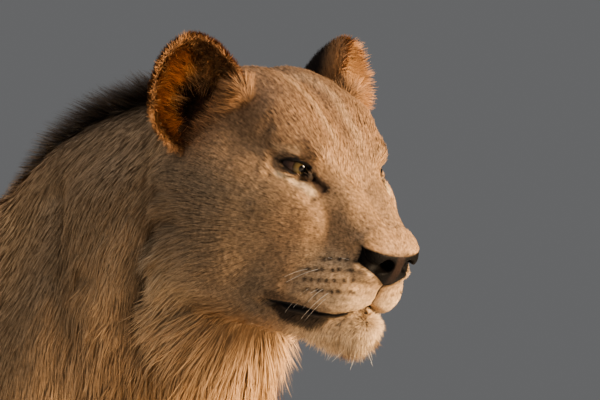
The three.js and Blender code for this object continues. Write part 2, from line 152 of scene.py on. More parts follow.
# Landmarks of the face, on the head's frame; those off the middle have a twin.
face = {
    "lidFacing": (0.83, 0.56, 0.02),
    "gaze": (0.96, 0.27, 0.05),
    "eyeRadius": 17.5,
    "lidRadius": 20.6,
    "eyeHalfWidth": 15.0,
    "upperLidRise": 7.0,
    "lowerLidDrop": 5.5,
    "eyeTilt": 5.5,  # degrees that the inner corner lies lower
    "tearLine": ((203, 49, 60), (210, 45, 60), (218, 43, 58), (227, 43, 55), (235, 40, 51)),
    "nostril": (317, 12.5, -2.5),
    "nostrilHole": (12, 7.5, 7.0),
    "nostrilSlit": ((316, 13, -4), (312, 22, -7), (307, 31, -4), (302, 36, 2), (299, 37, 8)),
    "underEye": ((195, 65, 54), (199, 63, 53), (204, 60, 51), (216, 55, 49), (230, 49, 47)),
    # The mouth's height by the angle about an upright line through the middle of the muzzle.
    "lipHinge": 262,
    "lipAngles": (0, 14, 28, 45, 66, 84, 104, 118, 126),
    "lipHeights": (-54, -57, -62, -66.5, -70.5, -71, -68, -69.5, -72),
}

faceFolds = {
    "sideOfBridge": (11, 3.5, ((232, 45, 36), (262, 41, 18), (284, 38, 0))),
    "underLid": (4.0, 2.6, ((186, 76, 50), (202, 66, 43), (218, 60, 41), (234, 53, 40))),
    "forehead": (8, 4.2, ((125, 0, 144), (175, 0, 122), (222, 0, 89))),
    "bridgeEdge": (11, -2.5, ((226, 30, 78), (238, 27, 62), (262, 24, 44))),
    "cheekbone": (24, -4.0, ((196, 66, 28), (160, 76, 14), (122, 84, 8))),
    "temple": (20, 4.0, ((168, 78, 78), (140, 82, 70))),
    "behindPad": (8, 2.6, ((286, 42, 0), (264, 52, -10), (246, 60, -26), (236, 64, -48))),
    "nostrilWing": (4.0, 2.4, ((292, 40, 16), (300, 41, 0), (306, 34, -12))),
}

earCup = {
    "hole": (80, 103, 108),
    "facing": (0.86, 0.5, 0.1),
    "up": (-0.12, 0.2, 0.97),
    "halfWidth": 47.5,
    "halfHeight": 58.5,
    "depth": 50,
    "thickness": 5.0,
    "inset": 5.0,  # from the tips of the coat
    "flap": ((112, 74, 122), (64, 95, 58), 12, 13),  # the fold before the opening: ends and radii
    "rings": 26,
    "spokes": 84,
}

eyeCentre = np.array(headPose["eyes"], np.float32)


def axesAbout(direction, tilt):
    # Towards the nose, up, and out; the tilt lowers the axis that points to the nose.
    out = np.array(direction) / np.linalg.norm(direction)
    level = np.cross(out, (0, 0, 1.0))
    level /= np.linalg.norm(level)
    inward = math.cos(tilt) * level - math.sin(tilt) * np.cross(level, out)
    return np.stack((inward, np.cross(inward, out), out), 1).astype(np.float32)


lidAxes = axesAbout(face["lidFacing"], math.radians(face["eyeTilt"]))
eyeAxes = axesAbout(face["gaze"], 0.0)


def lidOpening(m):
    # The almond between the lids: two arcs that meet at the eye's corners.
    a, b, out = ((m - eyeCentre) @ lidAxes).T
    width, rise, drop = face["eyeHalfWidth"], face["upperLidRise"], face["lowerLidDrop"]
    upper, lower = ((width**2 + h**2) / (2 * h) for h in (rise, drop))
    edge = np.maximum(np.hypot(a, b - rise + upper) - upper, np.hypot(a, b + drop - lower) - lower)
    return edge, out


def aboveLips(m):
    # How far each place is above the mouth's line, and its distance from that line.
    across = m[:, 0] - face["lipHinge"]
    angle = np.degrees(np.arctan2(m[:, 1], across))
    rise = m[:, 2] - np.interp(angle, face["lipAngles"], face["lipHeights"])
    beyond = np.maximum(angle - face["lipAngles"][-1], 0)
    beyond = np.radians(beyond) * np.hypot(across, m[:, 1])
    return rise, np.hypot(rise, beyond) + 40 * (m[:, 0] < 185)


def betweenPads(m):
    # 1 on the front of the muzzle, where a groove parts the whisker pads.
    return ramp(m[:, 0], 268, 282) * ramp(m[:, 2], -22, -30) * ramp(m[:, 2], -76, -64)


def headFlesh(h):
    m = mirrored(h, rounding=5)
    skull = joined(
        44,
        mass(m, (98, 26, 50), (116, 66, 93)),
        mass(m, (118, 64, 2), (88, 52, 66), turn=-7),
        mass(m, (92, 56, -52), (84, 56, 58)),
        mass(h, (70, 0, -28), (100, 92, 98)),
    )
    forehead = joined(
        24,
        mass(h, (158, 0, 73), (70, 58, 44), dip=23),
        limb(m, (156, 48, 96), (198, 42, 84), 23, 15),
    )
    bridge = joined(
        18,
        limb(m, (188, 17, 72), (286, 16, 8), 25, 17),
        mass(h, (302, 0, 13), (22, 31, 14), dip=22),
        mass(m, (238, 20, 12), (74, 25, 42), dip=14, turn=-7),
        mass(m, (202, 51, 20), (52, 28, 36), turn=-14),
        mass(m, (212, 52, -16), (44, 22, 32), turn=-16),
    )
    lips = joined(
        14,
        mass(m, (271, 19.5, -29), (36, 23, 41), turn=-12),
        mass(m, (247, 41, -42), (52, 19, 34), turn=-16, dip=-4),
        mass(m, (299, 19, 0), (17, 16, 14)),
        mass(h, (299, 0, -3), (21, 26, 18), dip=16),
        mass(h, (282, 0, -30), (18, 22, 26)),
        mass(h, (292, 0, -18), (18, 10, 15)),
    )
    jaw = joined(
        22,
        limb(m, (124, 58, -82), (246, 21, -80), 33, 28),
        mass(h, (262, 0, -86), (43, 30, 26)),
        mass(m, (212, 49, -64), (48, 26, 38), turn=-12),
        mass(h, (234, 0, -70), (52, 38, 28)),
    )
    earRoot = mass(m, (40, 73, 90), (36, 30, 40))
    earFlap = limb(m, *earCup["flap"])
    upperHead = joined(14, joined(24, skull, forehead, bridge, earRoot), earFlap)
    solid = joined(16, upperHead, joined(9, lips, jaw))
    return hollowed(12, solid, mass(m, (206, 64, 66), (26, 15, 12), turn=40, dip=6))


def nostrilHole(m):
    return mass(m, face["nostril"], face["nostrilHole"], turn=25)


def facialDetail(field, m):
    # Lids, folds, nostrils and lips, on the mirrored head.
    ball = np.linalg.norm(m - eyeCentre, axis=1) - face["lidRadius"]
    brow = limb(m, (176, 63, 86), (214, 40, 83), 9, 7)
    pouchMiddle = (203, 60, 44)
    outerPouch = limb(m, (182, 68, 50), pouchMiddle, 4, 5)
    innerPouch = limb(m, pouchMiddle, (222, 47, 42), 5, 4)
    field = joined(6, joined(9, field, brow), ball)
    field = joined(7, field, joined(6, outerPouch, innerPouch))
    tearDepth = 1.6 + 2.9 * ramp(m[:, 0], 232, 212)  # deeper near the eye
    field = creased(field, lineDistance(m, face["tearLine"]), 3.6, tearDepth)
    field = folded(field, m, faceFolds, "sideOfBridge", "underLid")
    edge, out = lidOpening(m)
    field = hollowed(1.2, field, np.maximum(edge, -out))
    field = folded(field, m, faceFolds, "forehead", "bridgeEdge", "cheekbone", "temple")
    field = folded(field, m, faceFolds, "behindPad")
    field = hollowed(3, field, nostrilHole(m))
    field = creased(field, lineDistance(m, face["nostrilSlit"]), 5.2, 11.0)
    field = creased(field, np.abs(m[:, 1]), 3.6, 3.4 * betweenPads(m))
    field = folded(field, m, faceFolds, "nostrilWing")
    rise, distance = aboveLips(m)
    field = field + 3.4 * ramp(rise, 0, -3) * ramp(rise, -18, -7) * ramp(distance, 26, 12)
    field = hollowed(9, field, earHollow(m))
    return creased(field, distance, 3.0, 5.5)


def earFrame():
    facing = np.array(earCup["facing"]) / np.linalg.norm(earCup["facing"])
    up = np.array(earCup["up"]) - facing * (facing @ earCup["up"])
    up /= np.linalg.norm(up)
    return np.cross(up, facing), up, facing


def earHollow(m):
    # The bowl in front of each ear's back wall.
    local = (m - np.array(earCup["hole"])) @ np.stack(earFrame(), 1)
    bowl = mass(local, (4, 10, 0), (37, 41, 56))
    notch = limb(local, (-8, -6, -8), (16, -42, -6), 17, 13)
    return joined(12, bowl, notch)


def pawFlesh(m, x, y, size):
    toes = [
        mass(m, (x + size * (46 - 7 * s * s), y + 29 * s * size, 27 * size),
             (41 * size, 19 * size, 29 * size), turn=7 * s, dip=6)
        for s in (-1.5, -0.5, 0.5, 1.5)
    ]
    middle = mass(m, (x - 4 * size, y, 38 * size), (58 * size, 50 * size, 42 * size), dip=12)
    heel = mass(m, (x - 34 * size, y, 26 * size), (38 * size, 38 * size, 32 * size))
    return joined(9, joined(20, middle, heel), *toes)


def bodyFlesh(p):
    m = mirrored(p)
    ribs = joined(
        90,
        mass(m, (235, 0, 750), (270, 158, 222)),
        mass(m, (-20, 0, 742), (330, 160, 194), dip=-2),
        mass(m, (215, 0, 883), (170, 76, 102)),
        mass(m, (-330, 0, 775), (270, 134, 146)),
        mass(m, (-200, 0, 682), (255, 120, 102), dip=4),
        mass(m, (-510, 0, 770), (178, 128, 135)),
    )
    shoulder = mass(m, (336, 106, 775), (88, 68, 186), dip=30, roll=-4)
    haunch = mass(m, (-500, 97, 690), (136, 70, 190), dip=-18, roll=3)
    foreLeg = joined(
        30,
        limb(m, (436, 104, 695), (342, 112, 555), 84, 64),
        limb(m, (336, 112, 550), (361, 106, 250), 62, 41),
        mass(m, (367, 105, 222), (42, 38, 48)),
        limb(m, (365, 105, 205), (387, 105, 80), 37, 38, 1.08),
        pawFlesh(m, 417, 105, 1.0),
    )
    hindLeg = joined(
        30,
        limb(m, (-510, 88, 760), (-418, 112, 575), 118, 76, 0.8),
        limb(m, (-430, 112, 560), (-627, 102, 310), 72, 37, 0.85),
        mass(m, (-639, 102, 285), (44, 30, 42)),
        limb(m, (-633, 102, 265), (-599, 102, 85), 33, 36),
        pawFlesh(m, -567, 102, 0.93),
    )
    return joined(40, joined(36, ribs, shoulder, haunch), joined(45, foreLeg, hindLeg))


def neckFlesh(p):
    middle = p - np.array((0, seat[1], 0), np.float32)
    middle[:, 1] = np.abs(middle[:, 1])
    x, y, z = seat
    return joined(
        60,
        limb(p, (250, 0, 858), (430, -5, 952), 140, 134, 0.86),
        limb(p, (430, -5, 952), (x + 40, y - 4, z - 27), 134, 113, 0.86),
        mass(p, (415, -7, 1044), (165, 70, 80), dip=-24),
        mass(p, (x - 8, y, z - 183), (110, 104, 118), dip=20),
        mass(p, (458, -4, 758), (106, 110, 168)),
        mass(mirrored(p), (445, 104, 935), (66, 46, 120), dip=14),
    )


tailPoints = ((-560, 0, 852), (-640, 0, 838), (-708, 0, 790), (-756, 8, 670), (-778, 18, 510),
              (-808, 28, 350), (-862, 36, 238), (-905, 39, 205))


# Folds on both sides of the neck and body, as they lie seen from the side.
bodyFolds = {
    "behindCheek": (17, 13, (
        (572, 0, 1022), (532, 0, 996), (511, 0, 964), (501, 0, 922), (505, 0, 885))),
    "beforeShoulder": (17, 8, (
        (385, 0, 1030), (412, 0, 975), (424, 0, 920), (427, 0, 868), (418, 0, 760))),
    "behindShoulder": (34, 9, ((285, 0, 930), (262, 0, 830), (250, 0, 740), (268, 0, 650))),
    "beforeHaunch": (38, 10, ((-395, 0, 830), (-362, 0, 740), (-340, 0, 640))),
}


def coatDepth(p, h):
    # How far the skin lies inside the tips of the coat.
    m = mirrored(h)
    x, y, z = m.T
    depth = 7.0 + 5 * ramp(p[:, 2], 700, 560) * ramp(np.abs(p[:, 0] + 60), 420, 250)
    depth = depth - 3 * ramp(p[:, 2], 560, 420)
    neck = ramp(p[:, 0], 230, 420) * ramp(p[:, 2], 560, 760)
    depth = depth + neck * (11 - 9 * ramp(p[:, 2], 980, 1080))
    throat = ramp(z, -60, -130) * ramp(x, -60, 20) * ramp(p[:, 2], 760, 860)
    depth = depth + 12 * throat
    inFace = 3.4 + 10 * ramp(x, 165, 85) * ramp(z, 30, -30) + 9 * ramp(z, -80, -125)
    inFace = inFace - 1.4 * ramp(x, 215, 262) * ramp(z, -95, -70)
    inFace = inFace + 4 * ramp(z, -76, -92) * ramp(x, 230, 260)
    onHead = ramp(x, -40, 70) * ramp(z, -190, -110)
    depth = depth + (inFace - depth) * onHead
    leather = ramp(x, 292, 306) * ramp(z, -34, -22)
    depth = depth - onHead * leather * (depth - 0.3)
    return depth * ramp(p[:, 2], 2, 20)


def skinField(p):
    h = toHead(p)
    m = mirrored(h)
    tail = np.min([limb(p, a, b, 24 - 2.0 * n, 22 - 2.0 * n)
                   for n, (a, b) in enumerate(zip(tailPoints, tailPoints[1:]))], axis=0)
    tips = joined(34, joined(60, bodyFlesh(p), neckFlesh(p)), headFlesh(h))
    field = joined(26, tips + coatDepth(p, h), tail)
    near = (m[:, 0] > 10) & (m[:, 0] < 350) & (np.abs(m[:, 2]) < 190)
    field[near] = facialDetail(field[near], m[near])
    flat = p * np.array((1, 0, 1), np.float32)
    field = folded(field, flat, bodyFolds, "behindCheek", fade=ramp(p[:, 2], 1028, 985))
    field = folded(field, flat, bodyFolds, "beforeShoulder", "behindShoulder", "beforeHaunch")
    return np.maximum(field, 0.2 - p[:, 2])  # the soles are flat, just above the floor


skinSizes = {
    "cell": 10.4,  # halved three times where the form is finer
    "low": (-945, -225, -14),
    "high": (855, 225, 1215),
    "parts": 24,  # the grid is measured in so many parts, which saves memory
}


def surfaceNet(field, rulers):
    # One vertex in each cell that the surface crosses, and a quad round each crossed edge.
    counts = [len(r) for r in rulers]
    grid = np.stack(np.meshgrid(*rulers, indexing="ij"), -1).reshape(-1, 3).astype(np.float32)
    parts = np.array_split(grid, skinSizes["parts"])
    value = np.concatenate([field(part) for part in parts]).reshape(counts)
    nx, ny, nz = (n - 1 for n in counts)
    corner = [(a, b, c) for a in (0, 1) for b in (0, 1) for c in (0, 1)]
    block = np.stack([value[a:a + nx, b:b + ny, c:c + nz] for a, b, c in corner], -1)
    crossed = (block < 0).any(-1) & (block >= 0).any(-1)
    cells = np.argwhere(crossed)
    corners = block[crossed]
    total, hits = np.zeros((len(cells), 3)), np.zeros(len(cells))
    for i, a in enumerate(corner):
        for j, b in enumerate(corner):
            if j > i and sum(abs(p - q) for p, q in zip(a, b)) == 1:
                cut = (corners[:, i] < 0) != (corners[:, j] < 0)
                fall = np.where(cut, corners[:, i] - corners[:, j], 1)
                t = np.where(cut, corners[:, i] / fall, 0)
                spot = np.array(a) + t[:, None] * (np.array(b) - np.array(a))
                total += np.where(cut[:, None], spot, 0)
                hits += cut
    places = total / hits[:, None]
    points = np.stack([r[c] + f * (r[1] - r[0]) for r, c, f in zip(rulers, cells.T, places.T)], 1)
    index = np.full((nx, ny, nz), -1)
    index[crossed] = np.arange(len(cells))
    quads = []
    for axis in range(3):
        u, v = np.eye(3, dtype=int)[(axis + 1) % 3], np.eye(3, dtype=int)[(axis + 2) % 3]
        here, there = (np.moveaxis(value, axis, 0)[s] < 0 for s in (slice(0, -1), slice(1, None)))
        at = np.argwhere(here != there)
        inside = here[tuple(at.T)]
        at = np.insert(at[:, 1:], axis, at[:, 0], axis=1)
        round4 = [index[tuple((at - a * u - b * v).T)] for a, b in ((0, 0), (1, 0), (1, 1), (0, 1))]
        ring = np.stack(round4, 1)
        quads.append(np.where(inside[:, None], ring, ring[:, ::-1]))
    return points.astype(np.float32), np.concatenate(quads)


def slopeOf(field, p, step=0.4):
    here = field(p)
    sides = [field(p + np.array(s, np.float32) * step) - here for s in np.eye(3)]
    return here, np.stack(sides, 1) / step


def drawOnto(field, p, cell, rounds=2):
    for _ in range(rounds):
        here, slope = slopeOf(field, p)
        steep = np.einsum("ij,ij->i", slope, slope) + 1e-4
        move = np.clip(here, -0.5 * cell, 0.5 * cell) / np.maximum(steep, 0.3)
        p = p - slope * move[:, None]
    return p


def neighbourMean(values, edges, count):
    total = np.zeros((count, values.shape[1]))
    for a, b in ((0, 1), (1, 0)):
        for k in range(values.shape[1]):
            total[:, k] += np.bincount(edges[:, a], values[edges[:, b], k], count)
    return total / np.maximum(np.bincount(edges.ravel(), minlength=count), 1)[:, None]


def gathered(items, field, width=1, kind=np.float32):
    flat = np.empty(len(items) * width, kind)
    items.foreach_get(field, flat)
    return flat.reshape(-1, width) if width > 1 else flat


def pointsOf(mesh):
    return gathered(mesh.vertices, "co", 3)


def edgesOf(mesh):
    return gathered(mesh.edges, "vertices", 2, np.int32)


def vertexNormals(mesh):
    return gathered(mesh.vertex_normals, "vector", 3)


def cornerVertices(mesh):
    return gathered(mesh.loops, "vertex_index", 1, np.int32)


def meshOf(name, points, faces):
    mesh = bpy.data.meshes.new(name)
    mesh.from_pydata(points, [], faces)
    return mesh


def tubeFaces(rings, spokes, base=0, capped=True):
    # Quads from each ring of vertices to the next, and a face over each end.
    last = base + (rings - 1) * spokes
    faces = []
    for start in range(base, last, spokes):
        for spoke in range(spokes):
            a, b = start + spoke, start + (spoke + 1) % spokes
            faces.append((a, b, b + spokes, a + spokes))
    if capped:
        faces.append(tuple(range(base, base + spokes))[::-1])
        faces.append(tuple(range(last, last + spokes)))
    return faces


def placed(name, data):
    made = bpy.data.objects.new(name, data)
    bpy.context.scene.collection.objects.link(made)
    return made


def relaxed(mesh, chosen, cell, rounds):
    # Evens out the chosen vertices along the surface and draws them back onto it.
    edges = edgesOf(mesh)
    p = pointsOf(mesh)
    for _ in range(rounds):
        normals = vertexNormals(mesh)
        step = neighbourMean(p, edges, len(p)).astype(np.float32) - p
        step -= normals * np.einsum("ij,ij->i", step, normals)[:, None]
        p[chosen] = drawOnto(skinField, p[chosen] + 0.6 * step[chosen], cell, 1)
        mesh.vertices.foreach_set("co", p.ravel())
        mesh.update()


def refine(mesh, wanted):
    work = bmesh.new()
    work.from_mesh(mesh)
    work.faces.ensure_lookup_table()
    centres = np.array([f.calc_center_median() for f in work.faces], np.float32)
    faces = [work.faces[i] for i in np.flatnonzero(wanted(toHead(centres), centres))]
    edges = list({e for f in faces for e in f.edges})
    bmesh.ops.subdivide_edges(work, edges=edges, cuts=1, use_grid_fill=True)
    work.to_mesh(mesh)
    work.free()


# Where the skin is refined, on the head's frame (h) or the body's (p).
def nearFineParts(h, p):
    m = mirrored(h)
    eye = np.linalg.norm(m - eyeCentre, axis=1) < 33
    duct = lineDistance(m, face["tearLine"]) < 9
    nose = (m[:, 0] > 288) & (m[:, 2] > -52) & (m[:, 2] < 30)
    lips = (aboveLips(m)[1] < 9) & (m[:, 0] > 190)
    pad = (m[:, 0] > 246) & (m[:, 2] > -52) & (m[:, 2] < 8)
    return eye | duct | nose | lips | pad


def onHead(h, p):
    return ((h[:, 0] > 30) & (h[:, 2] > -140)) | (p[:, 2] < 60) | (p[:, 0] < -690)


def onFace(h, p):
    return (h[:, 0] > 140) & (h[:, 2] > -125) & (np.abs(h[:, 1]) < 100)


# The unwrap keeps a column beside the body's share for the ears' four discs.
mapShares = {"bodyWidth": 0.9, "earColumn": 0.955, "earRadius": 0.036}


# The ears are round cups, open to the front and the side.
def earPoints(layer, ring, angle):
    outward, up, facing = earFrame()
    wide = np.cos(angle) * (1 - 0.12 * np.sin(angle))
    high = ring * earCup["halfHeight"] * np.sin(angle) - 16 * (1 - ring)
    bowl = 8 - earCup["depth"] * (1 - ring * ring) ** 0.8 - 13 * (ring * np.sin(angle)) ** 2
    ripple = 1.6 * np.sin(9 * angle + 5 * ring) * ring * (1 - ring) * (1 - layer)
    back = earCup["inset"] + layer * earCup["thickness"] * (1 - 0.5 * ring**4) - ripple
    point = np.array(earCup["hole"]) + np.outer(ring * earCup["halfWidth"] * wide, outward)
    return point + np.outer(high, up) + np.outer(bowl - back, facing)


def earMesh(side):
    # Rings run from the deepest point of the inside out to the rim, and in again on the back.
    rings, spokes = earCup["rings"], earCup["spokes"]
    reach = np.linspace(0.02, 1, rings)
    course = [(0, r) for r in reach] + [(0.5, 1.012)] + [(1, r) for r in reach[::-1]]
    angle = np.arange(spokes) * 2 * math.pi / spokes
    points = np.concatenate([
        earPoints(layer, np.full(spokes, min(r, 1.0)), angle) for layer, r in course
    ])
    points[:, 1] *= side
    # The left ear's faces are turned round, since its points are not mirrored.
    faces = [corners[::-side] for corners in tubeFaces(len(course), spokes)]
    mesh = meshOf("ear", fromHead(points).tolist(), faces)
    place = np.array([(layer, r, a) for layer, r in course for a in angle])
    circle = np.stack((np.cos(place[:, 2]), np.sin(place[:, 2])), 1)
    disc = (place[:, 1, None] * circle) * mapShares["earRadius"]
    height = 0.12 + 0.2 * (side > 0) + 0.4 * place[:, 0]
    centre = np.stack((np.full(len(place), mapShares["earColumn"]), height), 1)
    layUv(mesh, (centre + disc)[cornerVertices(mesh)])
    storeOn(mesh, "earLayer", "FLOAT", 1 + place[:, 0])
    storeOn(mesh, "earReach", "FLOAT", place[:, 1])
    return mesh


def layUv(mesh, values):
    layer = mesh.uv_layers.get("OFBake") or mesh.uv_layers.new(name="OFBake")
    layer.uv.foreach_set("vector", values.astype(np.float32).ravel())


def storeOn(mesh, name, kind, values, domain="POINT"):
    found = mesh.attributes.get(name) or mesh.attributes.new(name, kind, domain)
    field = {"FLOAT": "value", "FLOAT_VECTOR": "vector", "FLOAT_COLOR": "color"}[kind]
    found.data.foreach_set(field, np.ascontiguousarray(values, np.float32).ravel())


def readFrom(mesh, name, width=1):
    field = {1: "value", 3: "vector"}[width]
    return gathered(mesh.attributes[name].data, field, width)


def partsJoined(first, others):
    # Adds other meshes to the first, with their attributes.
    objects = [placed(mesh.name, mesh) for mesh in (first, *others)]
    with bpy.context.temp_override(active_object=objects[0], selected_editable_objects=objects):
        bpy.ops.object.join()
    return objects[0]


print("stage: skin surface")
rulers = [
    np.arange(low, high, skinSizes["cell"])
    for low, high in zip(skinSizes["low"], skinSizes["high"])
]
startPoints, startQuads = surfaceNet(skinField, rulers)
startPoints = drawOnto(skinField, startPoints, skinSizes["cell"])
skin = meshOf("skin", startPoints.tolist(), startQuads.tolist())
relaxed(skin, np.ones(len(startPoints), bool), skinSizes["cell"], 2)

# The unwrap, made while the mesh is still even; refining carries it along.
unwrapped = placed("skin", skin)
bpy.context.view_layer.objects.active = unwrapped
unwrapped.select_set(True)
skin.uv_layers.new(name="OFBake")
bpy.ops.object.mode_set(mode="EDIT")
bpy.ops.mesh.select_all(action="SELECT")
bpy.ops.uv.smart_project(angle_limit=math.radians(66), island_margin=0.002)
bpy.ops.object.mode_set(mode="OBJECT")
bpy.data.objects.remove(unwrapped)
for n, wanted in enumerate((onHead, onFace, nearFineParts)):
    refine(skin, wanted)
    p = pointsOf(skin)
    relaxed(skin, wanted(toHead(p), p), skinSizes["cell"] / 2 ** (n + 1), 3)
print("stage: skin refined", len(skin.vertices), len(skin.polygons))
uv = gathered(skin.uv_layers["OFBake"].uv, "vector", 2)
layUv(skin, uv * (mapShares["bodyWidth"], 1.0))
for name in ("earLayer", "earReach"):
    storeOn(skin, name, "FLOAT", np.zeros(len(skin.vertices)))
skinObject = partsJoined(skin, [earMesh(1), earMesh(-1)])
skinObject.name = "skin"
skin.shade_smooth()

# What each place on the skin carries: the lie, size and colours of its hair.
points = pointsOf(skin)
normals = vertexNormals(skin)
headPoints = toHead(points)
hm = mirrored(headPoints)
hx, hy, hz = hm.T
px, py, pz = points.T
side = np.sign(headPoints[:, 1] + 1e-4)
earLayer, earReach = readFrom(skin, "earLayer"), readFrom(skin, "earReach")
onEar = earLayer > 0.5
headShare = ramp(hx, -20, 70) * ramp(hz, -210, -120)


def unit(v):
    return v / np.maximum(np.linalg.norm(v, axis=1), 1e-9)[:, None]


hairLie = {
    "flanks": (-1.0, 0.0, -0.32),
    "neck": (-0.16, 0, -0.98),
    "chest": (-0.18, 0, -1.0),
    "legs": (-0.25, 0, -1.0),
    "paws": (1.0, 0, -0.45),
    "chin": (0.25, 0.0, -1.0),  # on the head's frame
}


def lieOfHair():
    # Towards the tips, along the skin: back from the nose, down the neck, sides and legs.
    away = unit(hm - np.array((345, 0, 5)))
    droop = 0.55 * ramp(hz, 25, -70) + 0.45 * ramp(hx, 150, 40) * ramp(hz, 80, 0)
    droop = droop + 0.8 * ramp(hx, 90, 30)  # the ruff's ends turn down behind the cheek
    head = away + np.stack((-0.1 + 0 * hx, 0 * hx, -droop), 1)
    chinShare = (ramp(hx, 235, 262) * ramp(hz, -76, -92))[:, None]
    head = head * (1 - chinShare) + chinShare * np.array(hairLie["chin"])
    head[:, 1] *= side
    head = head @ headTurning.T
    body = np.tile(np.array(hairLie["flanks"]), (len(points), 1))
    shares = {
        "neck": ramp(px, 120, 380),
        "chest": ramp(px, 400, 500) * ramp(pz, 1000, 860),
        "legs": ramp(pz, 640, 480),
        "paws": ramp(pz, 110, 60) * ramp(normals[:, 2], -0.2, 0.3),
    }
    for part, share in shares.items():
        body = body * (1 - share[:, None]) + share[:, None] * np.array(hairLie[part])
    onTail = ramp(px, -600, -690) * ramp(pz, 880, 860)
    for start, end in zip(tailPoints, tailPoints[1:]):
        near = (limb(points, start, end, 34, 34) < 0) & (onTail > 0.5)
        body[near] = np.array(end) - np.array(start)
    lie = unit(body) * (1 - headShare[:, None]) + unit(head) * headShare[:, None]
    lie[onEar] = earLie()[onEar]
    return lie


def earLie():
    # On the ear's back up to the rim; inside, out from the deepest part and over the opening.
    facing, up = (np.array(earCup[k]) / np.linalg.norm(earCup[k]) for k in ("facing", "up"))
    out = unit(hm - np.array(earCup["hole"]) + up * 10)
    rimmed = ramp(earReach, 0.72, 0.95)[:, None]
    inner = out * (0.75 * rimmed - 0.35) + facing * 0.75 + up * (0.3 * rimmed - 0.1)
    back = up * 0.9 + out * 0.5 - facing * 0.1
    lie = np.where((earLayer > 1.5)[:, None], back, inner)
    lie[:, 1] *= side
    return lie @ headTurning.T


def laidFlat(v):
    return unit(v - normals * np.einsum("ij,ij->i", v, normals)[:, None])


lie = lieOfHair()
edges = edgesOf(skin)
for _ in range(5):
    lie = np.where(onEar[:, None], lie, unit(0.4 * lie + 0.6 * neighbourMean(lie, edges, len(lie))))
flatLie = laidFlat(lie)

crestLine = ((525, -16, 1160), (470, -12, 1150), (415, -8, 1125), (350, -5, 1095),
             (290, -3, 1045), (205, 0, 995))
crestDistance = lineDistance(points, crestLine)
crestTaper = ramp(px, 165, 310)
crest = ramp(crestDistance, 14 + 24 * crestTaper, 4 + 12 * crestTaper)
crest = crest * ramp(normals[:, 2], 0.1, 0.6) * ramp(hx, 40, -10) * ramp(px, 185, 250)
throatRuff = ramp(hz, -72, -118) * ramp(hx, -60, 60) * ramp(px, 420, 520) * ramp(pz, 590, 650)
lipRise, lipDistance = aboveLips(hm)
cheekRuff = ramp(hx, 165, 80) * ramp(hx, -60, 10) * ramp(hz, 50, -30)
neckCoat = ramp(px, 230, 400) * ramp(pz + 150 * ramp(px, 400, 480), 690, 800) * (1 - headShare)
hangingHair = ramp(px, 385, 425) * ramp(px, 520, 470) * ramp(pz, 1010, 940) * neckCoat
inBowl = ramp(earHollow(hm), 7, -1) * ramp(hx, 0, 30)  # inside the ear, on the head's side of it
belly = ramp(pz, 660, 570) * ramp(normals[:, 2], 0.0, -0.6) * ramp(np.abs(px + 60), 480, 300)
chinHair = ramp(hx, 232, 262) * ramp(lipRise, -2, -10) * (hx > 185)
throatRuff = throatRuff * (1 - chinHair)
pawPart = ramp(pz, 130, 70)
legPart = ramp(pz, 600, 470) * (1 - pawPart)
muzzle = headShare * ramp(hx, 205, 265)
tuftPart = ramp(px, -838, -868) * ramp(pz, 330, 290)

# Lengths and widths are in millimetres and lifts in degrees off the skin; strays say how far
# hairs turn off their lie. "More" is what a part adds to the coat that it lies in.
lengths = {"body": 20.0, "moreOnBelly": 12, "moreOnLegs": -8, "moreOnPaws": -12, "neck": 17,
           "moreOnNeckSides": 19, "face": 10.5, "moreOnMuzzle": -3.6, "moreOnBrow": -2.0,
           "moreOnCheeks": 24, "throat": 50, "chin": 8, "moreUnderChin": 11, "earBack": 9,
           "insideEar": 26, "moreAtRim": -13, "earOpening": 20}
lifts = {"body": 13.0, "moreOnThroat": 6, "moreOnChin": 24, "moreOnCheeks": 3, "moreOnNeck": -2,
         "moreOnHead": 2, "moreOnMuzzle": -3, "moreUnderChin": 24, "earBack": 18,
         "insideEar": 38, "moreAtOpening": 30}
strays = {"body": 0.13, "moreOnNeckSides": 0.10, "moreOnThroat": 0.10, "moreOnCheeks": 0.16,
          "moreOnChin": 0.35, "earBack": 0.3, "insideEar": 0.6, "moreAtOpening": 0.3}
widths = {"body": 2.6, "moreOnLegs": -0.7, "moreOnPaws": -1.3, "face": 1.05,
          "moreOnMuzzle": -0.3, "longHair": 1.0, "moreOnChin": -0.1, "earBack": 0.75,
          "insideEar": 0.7, "moreAtOpening": -0.35}

reach = lengths["body"] + lengths["moreOnBelly"] * belly
reach = reach + lengths["moreOnLegs"] * legPart + lengths["moreOnPaws"] * pawPart
reach = reach + (lengths["neck"] + lengths["moreOnNeckSides"] * hangingHair - reach) * neckCoat
faceReach = lengths["face"] + lengths["moreOnMuzzle"] * muzzle
faceReach = faceReach + lengths["moreOnBrow"] * ramp(hx, 165, 190) * ramp(hz, 100, 70)
reach = reach * (1 - headShare) + headShare * faceReach
reach = reach + lengths["moreOnCheeks"] * headShare * cheekRuff
reach = np.maximum(reach, lengths["throat"] * throatRuff)
chinReach = lengths["chin"] + lengths["moreUnderChin"] * ramp(hz, -78, -104)
reach = reach + (chinReach - reach) * chinHair * headShare
lift = lifts["body"] + lifts["moreOnThroat"] * throatRuff
lift = lift + lifts["moreOnChin"] * chinHair * headShare + lifts["moreOnCheeks"] * cheekRuff
lift = lift + lifts["moreOnNeck"] * neckCoat
lift = lift + lifts["moreOnHead"] * headShare + lifts["moreOnMuzzle"] * muzzle
chinShare = chinHair * headShare
lift = lift + lifts["moreUnderChin"] * (chinShare * ramp(-normals[:, 2], 0.2, 0.8))
stray = strays["body"] + strays["moreOnNeckSides"] * hangingHair
stray = stray + strays["moreOnThroat"] * throatRuff + strays["moreOnCheeks"] * cheekRuff
stray = stray + strays["moreOnChin"] * chinHair * headShare
girth = widths["body"] + widths["moreOnLegs"] * legPart + widths["moreOnPaws"] * pawPart
faceGirth = widths["face"] + widths["moreOnMuzzle"] * muzzle
